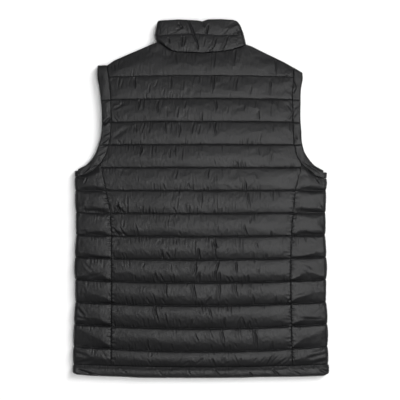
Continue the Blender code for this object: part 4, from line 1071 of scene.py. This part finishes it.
def side_cloth(name, side):
    """A side panel, from the back's seam round the folded side to the front's."""
    random = np.random.default_rng(SIDE_SEED + side)
    shares, angles = (np.array(part) for part in zip(*SIDE_COLUMNS))
    rows = side_rows(side)
    gathers = {
        line: random_puckers(random, SIDE_SPAN, PUCKER_WEIGHT) for line in range(TOP_SIDE, HEM_LINE)
    }
    ticks = random_ticks(random)
    made, marks = [], [0]
    for number, (row, rise) in enumerate(rows):
        seam_x = row_end(row, side)[0]
        far_x = fold_x(row_y(row, side * BOW_AT), side)
        first, last = number == 0, number == len(rows) - 1
        x = mix(seam_x + side * SEAM, far_x, shares)
        y, tall, level = side_place(row, rise, x, side)
        y = y * np.ones_like(x) - trim(first, last)
        quilted = rise is None and on_line(row)
        if quilted:
            marks.append(number)
        line = min(baffle(row)[0], HEM_LINE - 1) if rise is None else TOP_SIDE
        if last:
            level = 1.0
        room = np.abs(x - seam_x)
        over = filling(SIDE_BAFFLES, line, level, tall, room, shares, SIDE_SPREAD)
        over = mix(over, SIDE_BAFFLES[line].stitch, SIDE_DROOP * shares**2)
        dents = pucker_depth(x * side, level, gathers[line]) if rise is None else 0.0
        dents = dents + tick_depth(y, room, ticks) + fold_depth(name, x, y)
        under = MIDDLE_Z - groove(y, x, TOP_SIDE + 1)
        under = np.where((shares == 0) | first | last, UNDER_STITCH, under)
        folded = mix(FOLD_STITCH, FOLD, np.sin(np.pi * np.clip(level, 0, 1)) ** 0.5)
        held = (angles > REST_BEGINS) | first | last | quilted | (shares == 0)
        rough = SIM_ROUGH * random.normal(size=len(x)) - dents * (angles < TOP_ENDS)
        radius = fold_radius(angles, over, folded, under) + np.where(held, 0.0, rough)
        made.append(layers(x, y, angles, radius, held, (side, 0)))
    return cloth_of(made, marks)


def front(name, side):
    """A front, which rests on the surface, with stitched grooves and quiet puckers."""
    random = np.random.default_rng(FRONT_SEED + side)
    gathers = [random_puckers(random, FRONT_SPAN, FRONT_PUCKERS) for _ in range(HEM_LINE + 1)]
    made = []
    for row in rows_between(0, HEM_LINE, FRONT_STEP):
        line, share = baffle(row)
        end = abs(row_end(row, side)[0]) - SEAM
        reach = mix(ZIP_EDGE, end, spread(FRONT_WIDTH, FRONT_STEP))
        x = side * reach
        y = row_y(row, x, front=True) - trim(row == 0, row == HEM_LINE)
        rim = np.minimum(reach - ZIP_EDGE, end - reach)
        depth = MIDDLE_Z - groove(y, x, 1) - pucker_depth(reach, share, gathers[line]).clip(0)
        depth = np.minimum(depth, mix(UNDER_STITCH, MIDDLE_Z, ease(rim / FRONT_RIM)))
        if row in (0, HEM_LINE):
            depth = np.full(len(x), UNDER_STITCH)
        made.append(layers(x, y, 180, depth, np.full(len(x), True)))
    cloth = cloth_of(made, [])
    return slab(name, cloth.outer, cloth.inner)


BAND_SHARES = spread(*BAND_STEPS)
HEM_SHARES = spread(*HEM_STEPS)


def section(rows, shares):
    """A strip's outside above, at a folded side and below, at shares of its width."""
    places = [row.share for row in rows]
    return [
        np.interp(shares, places, [getattr(row, part) for row in rows])
        for part in ("over", "side", "under")
    ]


def run_along(points):
    """Each point's distance along a line of points."""
    steps = np.linalg.norm(np.diff(np.array(points, float), axis=0), axis=1)
    return np.concatenate([[0.0], np.cumsum(steps)])


def path_shares(points):
    """Each point's share of the way along a line of points."""
    run = run_along(points)
    return run / run[-1]


def band_seam(side):
    """Points of a band's stitching from the shoulder to the underarm fold, and their rows."""
    rows = rows_between(BAND_TOP_LINE, BAND_CORNER_LINE)
    down = [row_end(row, side) for row in rows]
    corner_x = down[-1][0]
    far_x = float(fold_x(side_top_y(side * BOW_AT, side), side))
    lower = [mix(corner_x, far_x, share) for share in SIDE_SHARES[1:]]
    return down + [(x, float(side_top_y(x, side))) for x in lower], rows


def band_edge(side, seam):
    """Plan points of a band's open edge, one for each point of its stitching."""
    band = ARMHOLE[side]
    marks = path_shares([(p.seam_x, p.seam_y) for p in band])
    start = [side * band[0].seam_x, band[0].seam_y]
    shares = path_shares([start, *seam])[1:]
    x = smooth(shares, marks, [p.edge_x for p in band])
    y = smooth(shares, marks, [p.edge_y for p in band])
    return np.stack([side * np.minimum(x, abs(seam[-1][0])), y], axis=-1)


def band_stations(side):
    """Sections of an armhole band: stitched and open point, angle, way out, line's depth."""
    seam, rows = band_seam(side)
    edge = band_edge(side, seam)
    seam = np.array(seam)
    away = np.full(len(seam), 1.0)
    for line in BAND_LINES:
        away[: len(rows)] = np.minimum(away[: len(rows)], np.abs(np.array(rows) - line))
    crossing = np.exp(-away * LINE_PITCH / DIVE)
    top = ARMHOLE[side][0]
    shoulder = [
        np.array((side * top.seam_x, top.seam_y - SHOULDER_FOLD)),
        np.array((side * top.edge_x, top.edge_y - SHOULDER_FOLD)),
    ]
    flat = list(zip(seam[:-1], edge[:-1], crossing[:-1]))
    stations = [(*shoulder, angle, (0, 1), 0.0) for angle in FINE_ANGLES[::-1]]
    stations += [(a, b, 0.0, (0, 0), line) for a, b, line in flat]
    stations += [(seam[-1], edge[-1], angle, (side, 0), 0.0) for angle in FINE_ANGLES]
    marks = [0, len(stations)]
    return stations + [(a, b, 180.0, (0, 0), 0.0) for a, b, _ in flat[::-1]], marks


def armhole_cloth(name, side):
    """The casing round an armhole, crossed by three quilting lines."""
    random = np.random.default_rng(BAND_SEED + side)
    over, rim, under = section(BAND_SECTION, BAND_SHARES)
    stations, marks = band_stations(side)
    made = []
    for number, (stitched, open_, angle, out, dive) in enumerate(stations):
        width = open_ - stitched
        start = stitched + width / np.linalg.norm(width) * SEAM
        x, y = (mix(start[c], open_[c], BAND_SHARES) for c in (0, 1))
        edge = np.minimum(rim, SHOULDER_FOLD) if out == (0, 1) else rim
        quilted = dive > ON_A_LINE
        if quilted:
            marks.append(number)
        top = over - BAND_DIVE * dive - (fold_depth(name, x, y) if angle == 0 else 0.0)
        held = np.full(len(x), angle > REST_BEGINS or quilted)
        held[[0, -1]] = True
        rough = np.where(held, 0.0, SIM_ROUGH * random.normal(size=len(x)))
        radius = fold_radius(angle, top, edge, under) + rough
        made.append(layers(x, y, angle, radius, held, out))
    return cloth_of(made, sorted(marks))


def girth(left, right, over, under):
    """Columns from the zip round both folds: x, angle and side."""
    over, under = np.linspace(0, 1, over)[1:-1], np.linspace(0, 1, under)[:-1]
    columns = [(-mix(ZIP_EDGE, -left, share), 180.0, -1) for share in under]
    columns += [(left, angle, -1) for angle in FINE_ANGLES[::-1]]
    columns += [(mix(left, right, share), 0.0, 0) for share in over]
    columns += [(right, angle, 1) for angle in FINE_ANGLES]
    columns += [(mix(ZIP_EDGE, right, share), 180.0, 1) for share in under[::-1]]
    return (np.array(part, float) for part in zip(*columns))


def hem_cloth():
    """The hem channel, from the zip round the back to the zip."""
    random = np.random.default_rng(HEM_SEED)
    left, right = fold_x(SIDE_EDGE[-1].y, -1), fold_x(SIDE_EDGE[-1].y, 1)
    x, angle, side = girth(left, right, *HEM_COLUMNS)
    at = x + side * FOLD * np.sin(np.radians(angle))
    gathers = random_puckers(random, HEM_SPAN, HEM_PUCKERS)
    made = []
    for share, over, rim, under in zip(HEM_SHARES, *section(HEM_SECTION, HEM_SHARES)):
        y = mix(line_y(HEM_LINE, x) - SEAM, along(at, HEM_EDGE), share)
        flat = np.where(np.abs(x) == ZIP_EDGE, UNDER_STITCH, under)
        held = (angle > REST_BEGINS) | (share in (0.0, 1.0))
        dents = pucker_depth(x, share, gathers) + fold_depth("hem_channel", x, y)
        rough = SIM_ROUGH * random.normal(size=len(x)) - dents * (angle < TOP_ENDS)
        radius = fold_radius(angle, over, rim, flat) + np.where(held, 0.0, rough)
        made.append(layers(x, y, angle, radius, held, (side, 0)))
    return cloth_of(made, [0, len(made) - 1])


def collar_y(rise, x, under):
    """Height at a rise of 0 for the neck seam, 1 for the middle line, 2 for the top."""
    at = np.clip(x, NECK_LEFT, NECK_RIGHT)
    levels = [top_y(at, False), along(x, COLLAR_MIDDLE), along(x, COLLAR_TOP)]
    low, high = levels[:2] if rise < 1 else levels[1:]
    return mix(low, high, rise if rise < 1 else rise - 1) - FRONT_NECK_DROP * neck_drop(at) * under


def collar_fold(rise, side):
    """Centre of a folded side of the collar at a rise."""
    rises = [row.rise for row in COLLAR_SIDE]
    return side * (float(np.interp(rise, rises, reaches(COLLAR_SIDE, side))) - COLLAR_FOLD)


def collar_cloth():
    """The stand collar of two baffles, from the zip round the neck to the zip."""
    random = np.random.default_rng(COLLAR_SEED)
    gathers = [random_puckers(random, COLLAR_SPAN, COLLAR_PUCKERS) for _ in range(3)]
    half = spread(COLLAR_TALL, COLLAR_STEP)
    made = []
    for rise in np.concatenate([half[:-1], 1 + half]):
        x, angle, side = girth(collar_fold(rise, -1), collar_fold(rise, 1), *COLLAR_COLUMNS)
        share = rise % 1
        dive = dive_between(share * COLLAR_TALL, (1 - share) * COLLAR_TALL)
        edge = np.minimum(rise, 2 - rise) < TINY
        plump = mix(COLLAR_UNDER, MIDDLE_Z, min(1, dive * COLLAR_RISES))
        flat = np.where((np.abs(x) == ZIP_EDGE) | edge, UNDER_STITCH, plump)
        stitched = COLLAR_STITCH if rise > 0 else BACK_BAFFLES[0].stitch - neck_gap(x)
        padded = mix(stitched, COLLAR_CROWN, dive * (1 - COLLAR_SLOPE * share))
        folded = mix(FOLD_STITCH - 1, COLLAR_FOLD, dive)
        held = (angle > REST_BEGINS) | (share < TINY)
        at = x + side * folded * np.sin(np.radians(angle))
        y = collar_y(rise, at, above_zero((angle - 90) / 90)) + trim(rise == 0, False)
        dents = pucker_depth(x, share, gathers[int(rise)]) + fold_depth("collar_shell", x, y)
        rough = SIM_ROUGH * random.normal(size=len(x)) - dents * (angle < TOP_ENDS)
        radius = fold_radius(angle, padded, folded, flat) + np.where(held, 0.0, rough)
        radius = np.where(angle < TOP_ENDS, np.maximum(radius, THINNEST), radius)
        made.append(layers(x, y, angle, radius, held, (side, 0)))
    return cloth_of(made, [0, len(half) - 1, len(made) - 1])


def run_points(line, gap):
    """Points and directions at even gaps along a line of points."""
    run = run_along(line)
    at = np.arange(gap, run[-1] - gap / 2, gap)
    points = np.stack([np.interp(at, run, line[:, c]) for c in range(3)], axis=-1)
    ahead = np.stack([np.interp(at + gap / 3, run, line[:, c]) for c in range(3)], axis=-1)
    way = ahead - points
    return points, way / np.maximum(1e-9, np.linalg.norm(way, axis=1, keepdims=True))


def stitches(name, lines):
    """The sewing thread along lines of points: single stitches, each a small lozenge."""
    points, faces = [], []
    reach = THREAD_SHARE * STITCH_LENGTH / 2
    for place, way in (bead for line in lines for bead in zip(*run_points(line, STITCH_LENGTH))):
        side = np.cross(way, (0.0, 0.0, 1.0))
        size = np.linalg.norm(side)
        side = side / size if size > 0.1 else np.array((1.0, 0.0, 0.0))
        up = np.cross(side, way)
        start = len(points)
        points.append(place - way * reach)
        for step in (-THREAD_SHOULDER, THREAD_SHOULDER):
            for a, b in ((1, 0), (0, 1), (-1, 0), (0, -1)):
                points.append(place + way * reach * 2 * step + (side * a + up * b) * THREAD)
        points.append(place + way * reach)
        for k in range(4):
            low, low_next = start + 1 + k, start + 1 + (k + 1) % 4
            faces.append((start, low_next, low))
            faces.append((low, low_next, low_next + 4, low + 4))
            faces.append((low + 4, low_next + 4, start + 9))
    return new_mesh(name, points, faces)


def zip_teeth():
    """Moulded teeth of the closed zip, from alternate sides, that mesh at the centre."""
    points, faces = [], []
    n = len(TOOTH_OUTLINE)
    for number in range(int((TEETH_TOP_Y - TEETH_FOOT_Y) / TOOTH_PITCH)):
        side = 1 if number % 2 else -1
        y = TEETH_FOOT_Y + TOOTH_PITCH * (number + 0.5)
        first = len(points)
        for z, inset in TEETH_LEVELS:
            for reach, half in TOOTH_OUTLINE:
                x = side * mix(TOOTH_MIDDLE, reach, 1 - inset)
                points.append((x, y + half * (1 - inset), z))
        for level in (first, first + n):
            for k in range(n):
                a, b = level + k, level + (k + 1) % n
                faces.append((a, b, b + n, a + n))
        faces.append(tuple(first + 2 * n + k for k in range(n)))
        faces.append(tuple(first + k for k in range(n))[::-1])
    thing = new_mesh("zip_teeth", points, faces)
    fix_normals(thing)
    thing.data.shade_flat()
    return thing


def bump(tree, height, strength, distance):
    """A bump node over a height."""
    node = tree.nodes.new("ShaderNodeBump")
    node.inputs["Strength"].default_value = strength
    node.inputs["Distance"].default_value = distance
    tree.links.new(height, node.inputs["Height"])
    return node


def woven(tree, scale, strength, distance):
    """A fine plain weave as a bump, from two crossed waves; returns the bump node."""
    nodes, links = tree.nodes, tree.links
    place = nodes.new("ShaderNodeTexCoord")
    mixed = nodes.new("ShaderNodeMath")
    mixed.operation = "MAXIMUM"
    for number, axis in enumerate(("X", "Y")):
        wave = nodes.new("ShaderNodeTexWave")
        wave.bands_direction = axis
        wave.inputs["Scale"].default_value = scale
        wave.inputs["Distortion"].default_value = WEAVE_UNEVEN
        links.new(place.outputs["Object"], wave.inputs["Vector"])
        links.new(wave.outputs["Fac"], mixed.inputs[number])
    return bump(tree, mixed.outputs[0], strength, distance)


def noise(tree, scale, detail, place=None):
    """A noise texture in object space."""
    texture = tree.nodes.new("ShaderNodeTexNoise")
    texture.inputs["Scale"].default_value = scale
    texture.inputs["Detail"].default_value = detail
    place = place or tree.nodes.new("ShaderNodeTexCoord").outputs["Object"]
    tree.links.new(place, texture.inputs["Vector"])
    return texture.outputs["Fac"]


def ramp(tree, source, low, high):
    """The middle of a source's range, spread between two colours or two numbers."""
    if isinstance(low, tuple):
        node = tree.nodes.new("ShaderNodeValToRGB")
        for element, place, colour in zip(node.color_ramp.elements, NOISE_RANGE, (low, high)):
            element.position, element.color = place, (*colour, 1)
        tree.links.new(source, node.inputs["Fac"])
        return node.outputs["Color"]
    node = tree.nodes.new("ShaderNodeMapRange")
    node.inputs["From Min"].default_value, node.inputs["From Max"].default_value = NOISE_RANGE
    node.inputs["To Min"].default_value, node.inputs["To Max"].default_value = low, high
    tree.links.new(source, node.inputs["Value"])
    return node.outputs["Result"]


def vary(tree, socket, scale, detail, low, high):
    """Let an input of the shader vary between two values by a noise."""
    varied = ramp(tree, noise(tree, scale, detail), low, high)
    tree.links.new(varied, tree.nodes["Principled BSDF"].inputs[socket])


def new_material(name):
    """A material, its tree and its shader."""
    made = bpy.data.materials.new(name)
    made.use_nodes = True
    return made, made.node_tree, made.node_tree.nodes["Principled BSDF"]


def thread_material():
    """Twisted polyester thread, a little lighter than the shell."""
    made, tree, shader = new_material("thread")
    vary(tree, "Base Color", 900, 2, (0.012, 0.012, 0.013), (0.026, 0.026, 0.028))
    shader.inputs["Roughness"].default_value = 0.55
    tree.links.new(woven(tree, 900, 0.25, 0.0001).outputs["Normal"], shader.inputs["Normal"])
    return made


def tape_material():
    """The zip's woven tape, matt."""
    made, tree, shader = new_material("tape")
    vary(tree, "Base Color", 260, 3, (0.009, 0.009, 0.010), (0.016, 0.016, 0.017))
    vary(tree, "Roughness", 60, 2, 0.78, 0.92)
    tree.links.new(woven(tree, 420, 0.5, 0.0002).outputs["Normal"], shader.inputs["Normal"])
    return made


def metal_material():
    """Dark lacquered zinc, a little rubbed, with soft casting unevenness."""
    made, tree, shader = new_material("metal")
    vary(tree, "Base Color", 220, 4, (0.022, 0.022, 0.024), (0.045, 0.045, 0.048))
    vary(tree, "Roughness", 140, 5, 0.28, 0.46)
    shader.inputs["Metallic"].default_value = 0.8
    uneven = bump(tree, noise(tree, 700, 3), 0.12, 0.0001)
    tree.links.new(uneven.outputs["Normal"], shader.inputs["Normal"])
    return made


def shell_material():
    """Charcoal nylon taffeta: soft sheen, fine weave, small crinkles."""
    made, tree, shader = new_material("shell")
    vary(tree, "Base Color", 9, 3, (0.0038, 0.0038, 0.0042), (0.0054, 0.0054, 0.0061))
    vary(tree, "Roughness", 26, 3, 0.485, 0.515)
    stretch = tree.nodes.new("ShaderNodeMapping")
    stretch.inputs["Scale"].default_value = (2.2, 0.8, 1.0)
    place = tree.nodes.new("ShaderNodeTexCoord")
    tree.links.new(place.outputs["Object"], stretch.inputs["Vector"])
    crinkles = bump(tree, noise(tree, 70, 5, stretch.outputs["Vector"]), 0.08, 0.0006)
    weave = woven(tree, 330, 0.10, 0.00008)
    tree.links.new(crinkles.outputs["Normal"], weave.inputs["Normal"])
    tree.links.new(weave.outputs["Normal"], shader.inputs["Normal"])
    return made


SHELL = shell_material()

CLOTHS = {
    "back": back_cloth(),
    "side_left": side_cloth("side_left", -1),
    "side_right": side_cloth("side_right", 1),
    "armhole_left": armhole_cloth("armhole_left", -1),
    "armhole_right": armhole_cloth("armhole_right", 1),
    "collar_shell": collar_cloth(),
    "hem_channel": hem_cloth(),
}
FILLED = dict(zip(CLOTHS, inflate(CLOTHS.values())))

PIECES = {"back": panel_with_flat_inside("back", FILLED["back"], CLOTHS["back"].inner)}
for name in ("side_left", "side_right", "collar_shell", "hem_channel"):
    PIECES[name] = slab(name, FILLED[name], CLOTHS[name].inner)
for name in ("armhole_left", "armhole_right"):
    PIECES[name] = slab(name, FILLED[name], CLOTHS[name].inner, ring=True)
PIECES["front_shell_left"] = front("front_shell_left", -1)
PIECES["front_shell_right"] = front("front_shell_right", 1)
STANDS_FOR = {
    "back": "back_panel",
    "side_left": "side_panel_left",
    "side_right": "side_panel_right",
    "armhole_left": "armhole_band_left",
    "armhole_right": "armhole_band_right",
    "collar_shell": "collar",
    "hem_channel": "hem_band",
    "front_shell_left": "front_left",
    "front_shell_right": "front_right",
}
for name, thing in PIECES.items():
    thing.data.materials.append(SHELL)
    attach(thing, "vest")
    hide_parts(STANDS_FOR[name])

THREAD_LINES = {
    "stitches_back": [FILLED["back"][k] for k in CLOTHS["back"].marks[1:-1]],
    "stitches_sides": [
        FILLED[name][k] for name in ("side_left", "side_right") for k in CLOTHS[name].marks[1:-1]
    ],
    "stitches_armholes": [FILLED[name][:, 2] for name in ("armhole_left", "armhole_right")],
    "stitches_collar": [FILLED["collar_shell"][CLOTHS["collar_shell"].marks[1]]],
    "stitches_hem": [FILLED["hem_channel"][2]],
}
THREAD_STUFF, TAPE_STUFF, METAL_STUFF = thread_material(), tape_material(), metal_material()
for name, lines in THREAD_LINES.items():
    thing = stitches(name, lines)
    thing.data.materials.append(THREAD_STUFF)
    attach(thing, "vest")
teeth = zip_teeth()
teeth.data.materials.append(METAL_STUFF)
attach(teeth, "vest")
for node, stuff in (
    ("zip_tape_left", TAPE_STUFF),
    ("zip_tape_right", TAPE_STUFF),
    ("zip_slider", METAL_STUFF),
    ("zip_pull", METAL_STUFF),
):
    for place in frame["nodes"][node].material_slots:
        place.material = stuff

FLOOR_REACH = 6000  # mm from the centre
corners = ((-1, -1, 0), (1, -1, 0), (1, 1, 0), (-1, 1, 0))
floor = new_mesh("floor", np.array(corners) * FLOOR_REACH, [(0, 1, 2, 3)])
paper, _, shader = new_material("paper")
shader.inputs["Base Color"].default_value = PAPER
shader.inputs["Roughness"].default_value = PAPER_ROUGH
floor.data.materials.append(paper)

# Soft boxes over the centre, in metres and watts; two are left out of reflections.
LIGHTS = table(
    "name place size power glossy",
    ("key", (0.40, -0.08, 2.2), (1.2, 0.9), 24.5, True),
    ("side", (4.6, 4.1, 5.3), (3.6, 3.6), 590, False),
    ("fill", (-2.6, -2.2, 4.4), (3.0, 3.0), 58, False),
)
for light in LIGHTS:
    data = bpy.data.lights.new(light.name, "AREA")
    data.shape, data.energy = "RECTANGLE", light.power
    data.size, data.size_y = light.size
    thing = bpy.data.objects.new(light.name, data)
    thing.visible_glossy = light.glossy
    thing.location = light.place
    thing.rotation_euler = (-Vector(light.place)).to_track_quat("-Z", "Y").to_euler()
    bpy.context.scene.collection.objects.link(thing)
world = bpy.data.worlds.new("studio")
world.use_nodes = True
world.node_tree.nodes["Background"].inputs["Color"].default_value = DAYLIGHT
world.node_tree.nodes["Background"].inputs["Strength"].default_value = DAYLIGHT_STRENGTH
bpy.context.scene.world = world
bpy.context.scene.view_settings.view_transform = "Standard"

CAMERA_AT = (-0.0014, -0.0024, 2.4)
FRAME_WIDTH = 0.860  # what the photograph's width covers at the garment
GARMENT_Z = 0.014  # height at which it covers that
SENSOR = 36.0
camera_data = bpy.data.cameras.new("camera")
camera_data.sensor_width = SENSOR
camera_data.lens = SENSOR * (CAMERA_AT[2] - GARMENT_Z) / FRAME_WIDTH
camera = bpy.data.objects.new("camera", camera_data)
camera.location = CAMERA_AT
bpy.context.scene.collection.objects.link(camera)
bpy.context.scene.camera = camera
